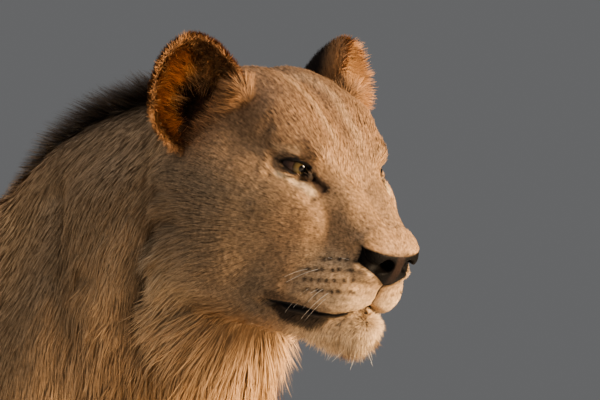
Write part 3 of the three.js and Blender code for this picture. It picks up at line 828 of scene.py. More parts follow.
girth = girth * (1 - headShare) + headShare * faceGirth
longHair = np.maximum(neckCoat, np.maximum(throatRuff, cheekRuff * headShare))
girth = girth + (widths["longHair"] - girth) * longHair
girth = girth + widths["moreOnChin"] * chinHair * headShare

innerEar, outerEar = onEar & (earLayer < 1.5), earLayer >= 1.5
reach[outerEar] = lengths["earBack"]
reach[innerEar] = lengths["insideEar"] + lengths["moreAtRim"] * ramp(earReach[innerEar], 0.7, 1.0)
for chosen, part in ((onEar, "earBack"), (innerEar, "insideEar")):
    lift[chosen], stray[chosen], girth[chosen] = lifts[part], strays[part], widths[part]
onFlap = ramp(limb(hm, *earCup["flap"]), 7, 1) * ramp(hz, 40, 60) * ~onEar
earOpening = np.maximum(inBowl, onFlap) * ~onEar
reach = reach + (lengths["earOpening"] - reach) * np.maximum(0.7 * inBowl, onFlap) * ~onEar
lift = lift + lifts["moreAtOpening"] * earOpening
stray = stray + strays["moreAtOpening"] * earOpening
girth = girth + widths["moreAtOpening"] * earOpening


palette = {
    "tawny": (180, 144, 105),
    "back": (154, 119, 86),
    "face": (150, 120, 91),
    "forehead": (128, 99, 74),
    "cheek": (132, 111, 88),
    "pad": (176, 147, 116),
    "white": (198, 173, 143),
    "cream": (204, 178, 144),
    "ruff": (184, 142, 97),
    # The coat's own tan-grey on the neck, made darker as painted shade.
    "neck": (134, 111, 87),
    "crest": (52, 42, 34),
    "lip": (20, 16, 15),
    "leather": (13, 11, 10),
    "leatherFront": (50, 38, 33),
    "earInside": (178, 140, 102),
    "earRim": (132, 96, 66),
    "earFlap": (124, 92, 64),
    "earPaintedShade": (46, 32, 25),
    # Painted shade inside the ears.
    "earBack": (40, 32, 28),
    # The dark of the spots and streaks, also used for painted shade in the fold behind the cheek
    # and the forehead's furrow.
    "spot": (46, 34, 27),
    "tuft": (34, 27, 23),
    "sole": (48, 38, 34),
}


def linear(name):
    c = np.array(palette[name]) / 255
    return np.where(c < 0.04045, c / 12.92, ((c + 0.055) / 1.055) ** 2.4)


def painted(colour, name, share):
    return colour + (linear(name) - colour) * np.clip(share, 0, 1)[:, None]


# The rows of dark spots on each whisker pad start by the nose and fall away backwards.
whiskerRows = {"count": 4, "front": 301, "top": -3.5, "apart": 10.8, "slope": 0.24}


def whiskerSpots():
    front, top, apart = (whiskerRows[key] for key in ("front", "top", "apart"))
    return [
        np.array((front - 7.8 * place - 1.2 * row + 1.4 * math.sin(5 * row + 3 * place), 0,
                  top - apart * row - 1.9 * place + 0.7 * math.sin(7 * place + row)))
        for row in range(whiskerRows["count"])
        for place in range(2 * (row == 0), 6 + (row in (1, 2)))
    ]


def layered(tone, layers):
    for name, share in layers:
        tone = painted(tone, name, share)
    return tone


def bodyMarkings():
    inner = ramp(pz, 620, 520) * ramp(np.abs(py), 100, 70)
    return [
        ("back", ramp(normals[:, 2], 0.1, 0.9) * 0.8),
        ("cream", ramp(normals[:, 2], -0.1, -0.8) * 0.8),
        ("cream", 0.7 * belly),
        ("cream", 0.6 * inner),
        # Greyer on the upper neck: the grey is the coat's own, its extra darkness painted shade.
        ("neck", 0.75 * neckCoat * ramp(pz, 760, 860)),
        ("ruff", 0.8 * ramp(throatRuff, 0.0, 0.9) * (1 - headShare * 0.5)),
    ]


def faceMarkings():
    under = lineDistance(hm, face["underEye"])
    overLid = lineDistance(hm, ((184, 68, 80), (195, 63, 82), (207, 55, 83)))
    furrow = lineDistance(hm, faceFolds["forehead"][2])
    innerBrow = lineDistance(hm, ((210, 51, 92), (218, 46, 81)))
    tearLine = lineDistance(hm, face["tearLine"])
    flews = ramp(lipRise, -1, 1) * ramp(lipRise, 17, 6) * ramp(hx, 204, 220) * ramp(hx, 294, 268)
    streaks = [
        np.abs(hz - whiskerRows["top"] + whiskerRows["apart"] * row
               + whiskerRows["slope"] * (whiskerRows["front"] - hx))
        for row in range(whiskerRows["count"])
    ]
    spots = [np.hypot(hx - spot[0], hz - spot[2]) for spot in whiskerSpots()]
    return [
        ("face", headShare),
        ("forehead", headShare * 0.9 * ramp(hz, 50, 110)),
        ("cheek", headShare * 0.8 * ramp(hy, 45, 75) * ramp(hx, 235, 190) * ramp(hz, 60, 20)),
        ("cream", 0.55 * headShare * cheekRuff * ramp(hz, -20, -90)),
        ("ruff", 0.5 * headShare * ramp(hz, -90, -130) * ramp(hx, 220, 150)),
        ("pad", headShare * ramp(hx, 225, 262) * ramp(hz, 6, -14)),
        ("white", headShare * ramp(hx, 262, 290) * ramp(hz, -34, -48) * 0.5),
        ("white", headShare * ramp(hx, 226, 262) * ramp(hz, -76, -90) * 0.8),
        ("pad", headShare * 0.8 * ramp(under, 9, 4)),
        ("cream", headShare * 0.75 * ramp(under, 6, 2.5)),
        ("pad", headShare * 0.7 * ramp(overLid, 5.5, 2.5)),
        *(("spot", headShare * 0.3 * ramp(streak, 3.0, 1.0) * ramp(hx, 238, 256) * (hy > 14))
          for streak in streaks),
        *(("spot", headShare * 0.8 * ramp(near, 2.7, 1.2) * (hy > 12)) for near in spots),
        ("spot", headShare * 0.93 * ramp(tearLine, 11, 3)),
        # Along the forehead's furrow: a dark streak of the fur, deepened by painted shade in the
        # crease.
        ("spot", headShare * 0.32 * ramp(furrow, 10, 2)),
        ("pad", headShare * 0.35 * ramp(np.abs(furrow - 17), 8, 2) * ramp(hz, 80, 100)),
        ("spot", headShare * 0.5 * ramp(innerBrow, 6, 2.5)),
        ("spot", headShare * 0.6 * flews),
    ]


def darkMarkings():
    # The crest with the line along the back, painted shade in the fold behind the cheek, and the
    # tail's tuft.
    topLine = 0.35 * ramp(np.abs(py), 34, 8) * ramp(normals[:, 2], 0.6, 0.9)
    flat = points * np.array((1, 0, 1))
    # Painted shade in the fold behind the cheek.
    foldShade = ramp(lineDistance(flat, bodyFolds["behindCheek"][2]), 26, 4)
    foldShade = foldShade * ramp(pz, 840, 900) * ramp(pz, 1030, 980)
    return [
        ("crest", 0.55 * neckCoat * ramp(crestDistance, 74, 30)),
        ("crest", topLine * ramp(px, -420, 250)),
        ("crest", crest),
        ("spot", 0.5 * foldShade),
        ("tuft", tuftPart),
    ]


def earsPainted(tone):
    rim = ramp(earReach, 0.8, 0.95)
    back = ramp(earReach, 0.2, 0.35) * ramp(earReach, 0.95, 0.8)
    tone[outerEar] = layered(tone, [("earRim", rim), ("earBack", back)])[outerEar]
    tone[innerEar] = linear("earInside")
    tone[innerEar] = painted(tone, "earRim", 0.9 * rim)[innerEar]
    # Painted shade deep in the bowl before each ear and low down inside its cup.
    low = ramp((hm - np.array(earCup["hole"])) @ earFrame()[1], 30, -8)
    shadeInBowl = inBowl * ~onEar * ramp(earHollow(hm), 3, -1)
    shadeInside = innerEar * ramp(earReach, 0.8, 0.45) * low
    tone = painted(tone, "earFlap", 0.85 * earOpening)
    return painted(tone, "earPaintedShade", np.maximum(shadeInBowl, shadeInside))


def bareParts():
    # 1 where the skin has no hair: the nose, lips, rims of the eyes and soles.
    edge, out = lidOpening(hm)
    upperLid = ramp((hm - eyeCentre) @ lidAxes[:, 1], -2, 3)
    rim = ramp(edge, 2.8 + 3.0 * upperLid, 1.4 + 2.6 * upperLid) * (out > 0)
    duct = ramp(lineDistance(hm, face["tearLine"]), 4.0, 1.4) * ramp(hx, 226, 214)
    thin = 1.1 * ramp(hx, 262, 296)
    lips = ramp(lipDistance, 3.4 - thin, 2.2 - thin)
    # The black lower lip, which is deepest below the cheek.
    flew = 15 * ramp(hx, 279, 254) * ramp(hx, 214, 238)
    lowerLip = ramp(hx, 208, 216) * ramp(hx, 288, 278) * ramp(lipRise, 2.5, 0.5) * (hz > -110)
    lips = np.maximum(lips, lowerLip * ramp(lipRise, -0.65 * flew - 3, -0.65 * flew + 3))
    philtrum = ramp(hy, 2.4, 1.3) * betweenPads(hm) * ramp(lipRise, -2, 0)
    sole = ramp(pz, 1.5, 0.5)
    dark = np.maximum.reduce([rim, duct, lips, philtrum]) * headShare
    darkFur = lowerLip * ramp(lipRise, -flew - 4, -flew + 1) * headShare
    return dark, noseLeather(hm) * headShare, sole, darkFur


def noseLeather(m):
    # A shield on the front of the nose: wide at the top, narrowing to the philtrum.
    x, y, z = m.T
    top = 8.5 + 0.003 * y * y - z
    sides = (40 - 1.42 * np.maximum(-2 - z, 0)) - y
    front = x - (302 - 0.15 * y)
    return ramp(np.minimum(np.minimum(top, sides), front), -1.0, 1.0) * ramp(z, -31, -27)


ground = np.tile(linear("tawny"), (len(points), 1))
tone = earsPainted(layered(ground, bodyMarkings() + faceMarkings() + darkMarkings()))
dark, leather, sole, darkFur = bareParts()
inNostril = np.minimum(lineDistance(hm, face["nostrilSlit"]), nostrilHole(hm) + 2)
tone = layered(tone, [
    ("lip", np.maximum(dark, 0.9 * darkFur)),
    ("leather", leather),
    ("leatherFront", leather * ramp(hx, 309, 316) * ramp(hy, 7, 3) * 0.8),
    # Near-black in the nostrils and their slits: painted shade in the holes.
    ("lip", ramp(inNostril, 5.0, 3.0) * leather),
    ("sole", sole),
])
bare = np.maximum.reduce([dark, leather, sole])
storeOn(skin, "tone", "FLOAT_COLOR", np.column_stack((tone, np.ones(len(tone)))))
storeOn(skin, "bare", "FLOAT", bare)
print("stage: markings")


class Wire:
    # An output socket; arithmetic on it adds Math nodes.
    def __init__(self, graph, socket):
        self.graph, self.socket = graph, socket

    def maths(self, operation, first, second=0.0, clamp=False):
        settings = {"operation": operation, "use_clamp": clamp}
        return self.graph.node("ShaderNodeMath", settings, {0: first, 1: second})

    def __add__(self, other):
        return self.maths("ADD", self, other)

    def __sub__(self, other):
        return self.maths("SUBTRACT", self, other)

    def __rsub__(self, other):
        return self.maths("SUBTRACT", other, self)

    def __mul__(self, other):
        return self.maths("MULTIPLY", self, other)

    def __truediv__(self, other):
        return self.maths("DIVIDE", self, other)

    def __rtruediv__(self, other):
        return self.maths("DIVIDE", other, self)

    def clamped(self):
        return self.maths("ADD", self, 0.0, clamp=True)

    def output(self, name):
        return Wire(self.graph, self.socket.node.outputs[name])

    __radd__, __rmul__ = __add__, __mul__


class Graph:
    def __init__(self, tree):
        self.tree = tree

    def node(self, kind, settings=None, sockets=None, out=0):
        made = self.tree.nodes.new(kind)
        for name, value in (settings or {}).items():
            if name == "stops":
                stops = made.color_ramp.elements
                for n, (place, colour) in enumerate(value):
                    stop = stops[n] if n < 2 else stops.new(place)
                    stop.position, stop.color = place, colour
            else:
                setattr(made, name, value)
        for name, value in (sockets or {}).items():
            if isinstance(value, Wire):
                self.tree.links.new(value.socket, made.inputs[name])
            else:
                made.inputs[name].default_value = value
        return Wire(self, made.outputs[out]) if made.outputs else None

    def mixed(self, factor, first, second, blend="MIX"):
        settings = {"data_type": "RGBA", "blend_type": blend}
        return self.node("ShaderNodeMix", settings, {0: factor, 6: first, 7: second}, 2)

    def vector(self, operation, first, second=(0, 0, 0)):
        return self.node("ShaderNodeVectorMath", {"operation": operation}, {0: first, 1: second})

    def scaled(self, first, scale):
        return self.node("ShaderNodeVectorMath", {"operation": "SCALE"}, {0: first, "Scale": scale})

    def attribute(self, name, out=0):
        return self.node("ShaderNodeAttribute", {"attribute_name": name}, out=out)

    def noise(self, place, scale, detail):
        sockets = {"Vector": place, "Scale": scale, "Detail": detail}
        return self.node("ShaderNodeTexNoise", {}, sockets)

    def shaded(self, colour, red, green=None, blue=None):
        # The colour times one grey, or times a share of its own for each channel.
        share = self.node("ShaderNodeCombineXYZ", {}, {0: red, 1: green or red, 2: blue or red})
        return self.mixed(1.0, colour, share, "MULTIPLY")

    def bump(self, strength, distance, height):
        sockets = {"Strength": strength, "Distance": distance, "Height": height}
        return self.node("ShaderNodeBump", {}, sockets)


def newMaterial(name, **constants):
    material = bpy.data.materials.new(name)
    material.use_nodes = True
    graph = Graph(material.node_tree)
    shader = material.node_tree.nodes["Principled BSDF"]
    for socket, value in constants.items():
        shader.inputs[socket].default_value = value
    return material, graph, shader


def feed(graph, shader, **links):
    for socket, wire in links.items():
        graph.tree.links.new(wire.socket, shader.inputs[socket.replace("_", " ")])


def skinMaterial():
    material, graph, shader = newMaterial("skin", **{"Specular IOR Level": 0.3})
    tone, bare = graph.attribute("tone"), graph.attribute("bare", "Fac")
    place = graph.node("ShaderNodeTexCoord", out="Object")
    grain, patch = graph.noise(place, 420, 4), graph.noise(place, 26, 3)
    # Random grain in the skin's tone; tied to the bump, it also puts painted shade in the grain's
    # hollows.
    shade = 0.42 + 0.3 * grain + 0.14 * patch + bare * 0.1
    feed(graph, shader, Base_Color=graph.shaded(tone, shade), Roughness=0.85 - bare * 0.25,
         Normal=graph.bump(0.5, 0.0006, grain))
    return material


def coatMaterial(name, rootShade=0.5, tipShade=1.18, roughness=0.62, mottle=0.3, darkHairs=0.45):
    # Colour from the root's place on the skin, with paler and darker hairs; each hair is darker
    # towards its root as painted shade among the hairs.
    material, graph, shader = newMaterial(name, Roughness=roughness, **{"Specular IOR Level": 0.25})
    along, strand = graph.attribute("along", "Fac"), graph.attribute("strand", "Fac")
    place = graph.node("ShaderNodeTexCoord", out="Object")
    patch, fleck = graph.noise(place, 34, 3), graph.noise(place, 260, 3)
    dark = 1 - ((strand - 0.78) * 12).clamped() * darkHairs  # on about a fifth of the hairs
    # Painted shade: darker at the root, lighter towards the tip.
    shade = rootShade + (tipShade - rootShade) * along
    shade = shade * (0.70 + 0.38 * strand + 0.36 * patch) * dark
    shade = shade * (1 - mottle * 0.55 + mottle * 2.2 * (fleck - 0.25).clamped())
    colour = graph.shaded(graph.attribute("tone"), shade, shade * 0.985, shade * 0.96)
    feed(graph, shader, Base_Color=colour)
    return material


def bladeMesh(name, stages, bend):
    # A hair's blade along Z, widest at its first third, bent back along Y: triangles only.
    points, along = [(0, 0, 0)], [0.0]
    for n in range(1, stages):
        t = n / stages
        width = 0.5 * (1 - t**2.2)
        points += [(-width, -bend * t * t, t), (width, -bend * t * t, t)]
        along += [t, t]
    points.append((0, -bend, 1))
    along.append(1.0)
    last = len(points) - 1
    faces = [(0, 1, 2), (last - 1, last - 2, last)]
    for n in range(1, last - 2, 2):
        faces += [(n, n + 3, n + 1), (n, n + 2, n + 3)]
    mesh = meshOf(name, points, faces)
    storeOn(mesh, "along", "FLOAT", along)
    storeOn(mesh, "across", "FLOAT", [p[0] for p in points])
    return placed(name, mesh)


def coatTree():
    # Blades on the skin: their place, size, lie and colours come from what the skin carries.
    tree = bpy.data.node_groups.new("coat", "GeometryNodeTree")
    for name, kind in (("Skin", "NodeSocketGeometry"), ("Blade", "NodeSocketObject"),
                       ("Seed", "NodeSocketInt"), ("Size Spread", "NodeSocketFloat"),
                       ("Clump Size", "NodeSocketFloat"), ("Patch Width", "NodeSocketFloat"),
                       ("Finish", "NodeSocketMaterial")):
        tree.interface.new_socket(name, in_out="INPUT", socket_type=kind)
    tree.interface.new_socket("Coat", in_out="OUTPUT", socket_type="NodeSocketGeometry")
    graph = Graph(tree)
    given = graph.node("NodeGroupInput")

    def carried(name, kind="FLOAT"):
        return graph.node("GeometryNodeInputNamedAttribute", {"data_type": kind}, {"Name": name})

    def random(low, high, offset):
        sockets = {2: low, 3: high, "Seed": given.output("Seed") + offset}
        return graph.node("FunctionNodeRandomValue", {"data_type": "FLOAT"}, sockets, 1)

    def randomVector(offset):
        sockets = {0: (-1, -1, -1), 1: (1, 1, 1), "Seed": given.output("Seed") + offset}
        return graph.node("FunctionNodeRandomValue", {"data_type": "FLOAT_VECTOR"}, sockets, 0)

    roots = graph.node("GeometryNodeDistributePointsOnFaces", {}, {
        "Mesh": given, "Density": carried("cover"), "Seed": given.output("Seed")})
    normal = roots.output("Normal")
    strand = random(0.0, 1.0, 1)
    roots = graph.node("GeometryNodeStoreNamedAttribute", {"data_type": "FLOAT", "domain": "POINT"},
                       {"Geometry": roots, "Name": "strand", "Value": strand})
    place = graph.node("GeometryNodeInputPosition")
    clump = graph.node("ShaderNodeTexNoise", {}, {
        "Vector": place, "Scale": 1.0 / given.output("Clump Size"), "Detail": 1.0}, "Color")
    swerve = graph.vector("SUBTRACT", clump, (0.5, 0.5, 0.5))
    stray = carried("stray")
    lie = graph.vector("ADD", carried("lie", "FLOAT_VECTOR"), graph.scaled(swerve, stray * 3.2))
    lie = graph.vector("ADD", lie, graph.scaled(randomVector(2), stray * 0.5))
    rotation = graph.node("FunctionNodeAlignRotationToVector", {"axis": "Z"}, {"Vector": lie})
    rotation = graph.node("FunctionNodeAlignRotationToVector", {"axis": "Y", "pivot_axis": "Z"},
                          {"Rotation": rotation, "Vector": normal})
    roll = graph.node("FunctionNodeAxisAngleToRotation", {}, {
        "Axis": (0, 0, 1), "Angle": random(-0.45, 0.45, 3)})
    rotation = graph.node("FunctionNodeRotateRotation", {"rotation_space": "LOCAL"},
                          {"Rotation": rotation, "Rotate By": roll})
    spread = given.output("Size Spread")
    size = random(0.0, 1.0, 4) * spread * 2 + (1 - spread)
    length = carried("reach") * size
    width, bend = carried("girth") * (0.8 + 0.4 * strand), length * random(0.4, 1.5, 5)
    scale = graph.node("ShaderNodeCombineXYZ", {}, {"X": width, "Y": bend, "Z": length})
    blade = graph.node("GeometryNodeObjectInfo", {}, {"Object": given.output("Blade")}, "Geometry")
    tufts = graph.node("GeometryNodeInstanceOnPoints", {}, {
        "Points": roots, "Rotation": rotation, "Scale": scale, "Instance": blade})
    solid = graph.node("GeometryNodeRealizeInstances", {}, {"Geometry": tufts})
    # Each tuft is a small patch at its root's place on the unwrapped skin.
    patch = graph.node("ShaderNodeCombineXYZ", {}, {
        "X": carried("across"), "Y": carried("along") - 0.5})
    patch = graph.scaled(patch, given.output("Patch Width"))
    spot = graph.vector("ADD", carried("OFBake", "FLOAT_VECTOR"), patch)
    settings = {"data_type": "FLOAT2", "domain": "CORNER"}
    solid = graph.node("GeometryNodeStoreNamedAttribute", settings,
                       {"Geometry": solid, "Name": "OFBake", "Value": spot})
    solid = graph.node("GeometryNodeSetMaterial", {}, {
        "Geometry": solid, "Material": given.output("Finish")})
    graph.node("NodeGroupOutput", {}, {0: solid})
    return tree


def vertexAreas(mesh):
    # A third of each triangle's area goes to each of its corners.
    mesh.calc_loop_triangles()
    corners = gathered(mesh.loop_triangles, "vertices", 3, np.int32)
    a, b, c = (points[corners[:, n]] for n in range(3))
    size = np.linalg.norm(np.cross(b - a, c - a), axis=1) / 2
    return np.bincount(corners.ravel(), np.repeat(size / 3, 3), len(points))


hairDetail = {
    "patchWidth": 0.003,  # of a hair's own place on the unwrap
    "offFloor": 0.4,  # mm
    "ownNormal": 0.34,
    "skinNormal": 0.66,
}
# What the skin carries only while its hair grows.
hairInputs = ("lie", "stray", "girth", "reach", "cover", "rootNormal", "earLayer", "earReach")


def growCoat(name, blade, wanted, count, material, seed, spread=0.25, clump=0.02):
    # wanted is the share of the coat that this piece has at each vertex.
    weight = wanted / (girth * reach) * (1 - bare) * outsideHead
    density = weight * count / max((weight * areas).sum(), 1e-9) / (mm * mm)
    storeOn(skin, "cover", "FLOAT", density)
    coat = placed(name, skin)
    modifier = coat.modifiers.new("coat", "NODES")
    modifier.node_group = coatNodes
    values = {"Blade": blade, "Seed": seed, "Size Spread": spread, "Clump Size": clump,
              "Patch Width": hairDetail["patchWidth"], "Finish": material}
    for item in coatNodes.interface.items_tree:
        if item.in_out == "INPUT" and item.name in values:
            modifier[item.identifier] = values[item.name]
    bpy.context.view_layer.update()
    ready = coat.evaluated_get(bpy.context.evaluated_depsgraph_get())
    mesh = bpy.data.meshes.new_from_object(ready)
    bpy.data.objects.remove(coat)
    mesh.name = name
    places = pointsOf(mesh)
    # Hairs lie on the floor, not in it.
    places[:, 2] = np.maximum(places[:, 2], hairDetail["offFloor"] * mm)
    mesh.vertices.foreach_set("co", places.ravel())
    softenNormals(mesh)
    for unused in (*hairInputs, "bare", "across"):
        if unused in mesh.attributes:
            mesh.attributes.remove(mesh.attributes[unused])
    print("stage: coat", name, len(mesh.polygons), "faces")
    return placed(name, mesh)


def softenNormals(mesh):
    # The hairs are shaded mostly as the skin beneath them is, so that the coat looks soft.
    mesh.shade_smooth()
    own = vertexNormals(mesh)
    below = readFrom(mesh, "rootNormal", 3)
    blended = hairDetail["ownNormal"] * own + hairDetail["skinNormal"] * below
    mesh.normals_split_custom_set_from_vertices(blended.tolist())


def storeHair():
    radiansUp = np.radians(lift)[:, None]
    upright = lie * np.cos(radiansUp) + normals * np.sin(radiansUp)
    storeOn(skin, "lie", "FLOAT_VECTOR", upright)
    storeOn(skin, "reach", "FLOAT", reach * mm)
    storeOn(skin, "girth", "FLOAT", girth * mm)


lie = np.where(onEar[:, None], unit(lie), flatLie)
storeHair()
storeOn(skin, "rootNormal", "FLOAT_VECTOR", normals)
storeOn(skin, "stray", "FLOAT", stray)
skin.vertices.foreach_set("co", ((points + bodyShift) * mm).astype(np.float32).ravel())
skin.update()
areas = vertexAreas(skin)
outsideHead = 1.0 - onEar * ramp(skinField(points.astype(np.float32)), 1.0, -1.0)
coatNodes = coatTree()
kite = bladeMesh("kite", 2, 0.10)
lock = bladeMesh("lock", 3, 0.16)
shortCoat = coatMaterial("coat", 0.55, 1.18, mottle=0.75)
longCoat = coatMaterial("long coat", 0.55, 1.2)
isShort = ramp(reach, 26, 19) * (1 - crest) * (1 - tuftPart)
isLong = (1 - isShort) * (1 - crest) * (1 - tuftPart)
skin.materials.append(skinMaterial())
chinCoat = coatMaterial("chin", 0.2, 1.25, mottle=0.1, darkHairs=0.65)
earCoat = coatMaterial("ear", 0.7, 1.12)
neckFinish = coatMaterial("neck", 0.66, 1.12, mottle=0.35, darkHairs=0.25)
bodyCoat = coatMaterial("body", 0.6, 1.15, mottle=0.2)
left = (headPoints[:, 1] > 0).astype(float)
right = 1 - left
upper = ramp(pz, 900, 915)
faceArea = isShort * headShare * ~onEar * (1 - chinShare)
bodyArea = isShort * (1 - headShare) * ~onEar
onNeck = ramp(px, 290, 300)
behindNeck = bodyArea * (1 - onNeck)
aboveLegs = ramp(pz, 540, 560)
longArea = isLong * ~onEar
# Each piece's blade, its share of the coat, its count of hairs, its finish and its seed.
pieces = {
    "coat_face_left": (kite, faceArea * left, 80000, shortCoat, 1),
    "coat_face_right": (kite, faceArea * right, 80000, shortCoat, 2),
    "coat_body_left": (kite, behindNeck * (py > 0) * aboveLegs, 40000, bodyCoat, 3),
    "coat_body_right": (kite, behindNeck * (py <= 0) * aboveLegs, 40000, bodyCoat, 4),
    "coat_legs": (kite, behindNeck * ramp(pz, 560, 540), 40000, bodyCoat, 5),
    "coat_neck_left": (kite, bodyArea * onNeck * left, 70000, neckFinish, 6),
    "coat_neck_right": (kite, bodyArea * onNeck * right, 70000, neckFinish, 7),
    "coat_ruff_left": (lock, longArea * left * upper, 26000, longCoat, 14),
    "coat_ruff_right": (lock, longArea * right * upper, 26000, longCoat, 15),
    "coat_throat_left": (lock, longArea * left * (1 - upper), 22000, longCoat, 11),
    "coat_throat_right": (lock, longArea * right * (1 - upper), 22000, longCoat, 12),
    "coat_chin": (lock, chinShare, 16000, chinCoat, 13, 0.45, 0.012),
    "coat_ears": (kite, onEar * (outerEar + 1.6 * ramp(earReach, 0.25, 0.6)), 52000, earCoat, 8),
}
for name, settings in pieces.items():
    grown = growCoat(name, *settings)
    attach(grown, "root")


# The mane's crest and the tail's tuft.
maneCoat = coatMaterial("mane", 0.7, 1.3, 0.7)
tuftCoat = coatMaterial("tail tuft", 0.7, 1.3, 0.7)
ridge = {"length": 36, "lift": 58, "width": 0.8}
brush = {"length": 57, "lift": 10, "width": 1.8}
for part, share in ((ridge, crest), (brush, tuftPart)):
    on = share > 0.02
    grade = 0.25 + 0.75 * ramp(np.abs(px[on]), 210, 370)  # the ridge is lowest at its back end
    reach[on] = part["length"] * (0.55 + 0.45 * share[on]) * grade
    girth[on] = part["width"]
    lift[on] = part["lift"]
storeHair()
mane = growCoat("mane_crest", lock, crest * ~onEar, 14000, maneCoat, 9, spread=0.35)
tuft = growCoat("tail_brush", lock, tuftPart, 5000, tuftCoat, 10, spread=0.3)
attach(mane, "root")
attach(tuft, "root")
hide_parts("mane")
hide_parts("tail_tuft")

flesh = ["head", "lower_jaw", "neck", "trunk", "tail", "ear_left", "ear_right"]
flesh += [
    f"{pair}{part}_{hand}"
    for pair in ("fore", "hind") for part in ("leg", "paw") for hand in ("left", "right")
]
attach(skinObject, "root")
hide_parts(*flesh)


eyeLook = {
    "iris": 10.4,
    "pupil": 3.6,
    "bulge": 1.3,
    "mapScale": 6.4,  # radians off the pupil's axis that the whole map spans
    "pupilColour": (0.003, 0.003, 0.004, 1),
    # The iris's own dark olive-amber, made darker still as painted shade under the brow and upper
    # lid.
    "irisColours": [(0.0, (0.055, 0.038, 0.017, 1)), (0.30, (0.095, 0.068, 0.03, 1)),
                    (0.72, (0.06, 0.044, 0.02, 1)), (1.0, (0.02, 0.012, 0.008, 1))],
    "outerColour": (0.055, 0.034, 0.026, 1),
}


def eyeMesh(side):
    # A ball with a slight bulge over the iris; its map lies straight behind the pupil.
    rings, spokes, scale = 44, 64, eyeLook["mapScale"]
    points, places = [], []
    for ring in range(rings + 1):
        angle = math.pi * (ring / rings) ** 1.35
        swell = face["eyeRadius"] + eyeLook["bulge"] * math.exp(-((angle / 0.5) ** 2) * 1.4)
        for spoke in range(spokes):
            turn = 2 * math.pi * spoke / spokes
            c, s = math.cos(turn), math.sin(turn)
            ray = np.array((math.sin(angle) * c, math.sin(angle) * s, math.cos(angle)))
            points.append(eyeCentre + eyeAxes @ (ray * swell))
            places.append((0.5 + angle * c / scale, 0.5 + angle * s / scale))
    points = np.array(points)
    points[:, 1] *= side
    mesh = meshOf("eye", inScene(points), tubeFaces(rings + 1, spokes, capped=False))
    layer = mesh.uv_layers.new(name="UVMap")
    layer.uv.foreach_set("vector", np.array(places, np.float32)[cornerVertices(mesh)].ravel())
    work = bmesh.new()
    work.from_mesh(mesh)
    bmesh.ops.remove_doubles(work, verts=work.verts, dist=1e-6)
    bmesh.ops.recalc_face_normals(work, faces=work.faces)
    work.to_mesh(mesh)
    work.free()
    mesh.shade_smooth()
    return mesh


def eyeMaterial():
    material, graph, shader = newMaterial("eye", **{"Roughness": 0.05, "IOR": 1.38})
    uv = graph.node("ShaderNodeUVMap", {"uv_map": "UVMap"})
    middle = graph.vector("SUBTRACT", uv, (0.5, 0.5, 0.0))
    away = graph.node("ShaderNodeVectorMath", {"operation": "LENGTH"}, {0: middle}, "Value")
    millimetres = away * eyeLook["mapScale"] * face["eyeRadius"]
    rays = graph.vector("MULTIPLY", graph.vector("NORMALIZE", middle), (9, 9, 9))
    spokes, flecks = graph.noise(rays, 3.0, 5), graph.noise(uv, 160, 3)
    across = (millimetres - eyeLook["pupil"]) / (eyeLook["iris"] - eyeLook["pupil"])
    across = across + (spokes - 0.5) * 0.5
    iris = graph.node("ShaderNodeValToRGB", {"stops": eyeLook["irisColours"]}, {"Fac": across})
    iris = graph.shaded(iris, 0.72 + 0.5 * flecks)
    outside = ((millimetres - eyeLook["iris"]) * 1.4).clamped()
    pupil = ((millimetres - eyeLook["pupil"]) * 2.5).clamped()
    colour = graph.mixed(outside, iris, eyeLook["outerColour"])
    feed(graph, shader, Base_Color=graph.mixed(pupil, eyeLook["pupilColour"], colour))
    return material


eyeFinish = eyeMaterial()
for sign, hand in ((1, "left"), (-1, "right")):
    eye = placed("eyeball_" + hand, eyeMesh(sign))
    eye.data.materials.append(eyeFinish)
    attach(eye, "root")
    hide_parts("eye_" + hand)


def leatherMaterial():
    material, graph, shader = newMaterial("nose leather", **{"Specular IOR Level": 0.11})
    place = graph.node("ShaderNodeTexCoord", out="Object")
    pebbles = graph.node("ShaderNodeTexVoronoi", {"feature": "F1"}, {"Vector": place, "Scale": 620})
    fine, patch = graph.noise(place, 900, 3), graph.noise(place, 70, 4)
    # Darker in the grooves between the pebbles, where the bump is low: painted shade.
    shade = 0.4 + 0.75 * patch - 0.3 * pebbles
    colour = graph.shaded(graph.attribute("tone"), shade, shade * 0.97, shade * 0.95)
    feed(graph, shader, Base_Color=colour, Roughness=0.5 + 0.2 * patch,
         Normal=graph.bump(0.55, 0.0005, fine * 0.35 - pebbles))
    return material


noseSizes = {"proud": 0.45, "thickness": 1.6}  # mm


def nosePiece():
    # The leather part of the skin, a little proud of it and with a thickness of its own.
    work = bmesh.new()
    work.from_mesh(skin)
    keep = leather > 0.5
    gone = [f for f in work.faces if not all(keep[v.index] for v in f.verts)]
    bmesh.ops.delete(work, geom=gone, context="FACES")
    mesh = bpy.data.meshes.new("nose_leather")
    for vertex in work.verts:
        vertex.co += vertex.normal * noseSizes["proud"] * mm
    work.to_mesh(mesh)
    work.free()
    mesh.materials.clear()
    mesh.materials.append(leatherMaterial())
    nose = placed("nose_leather", mesh)
    wall = nose.modifiers.new("wall", "SOLIDIFY")
    wall.thickness = noseSizes["thickness"] * mm
    wall.offset = -1
    mesh.shade_smooth()
    return nose


nose = nosePiece()
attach(nose, "root")
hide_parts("nose")


whiskers = {
    "length": 50,
    "thickness": 0.28,
    "sides": 4,
    "stages": 10,
    "missing": 0.12,  # the share of the spots without a whisker
    "frontmost": 290,  # spots in front of this have none
    "onChin": 9,  # bristles on each side of the chin
    "chinThickness": 0.3,
}


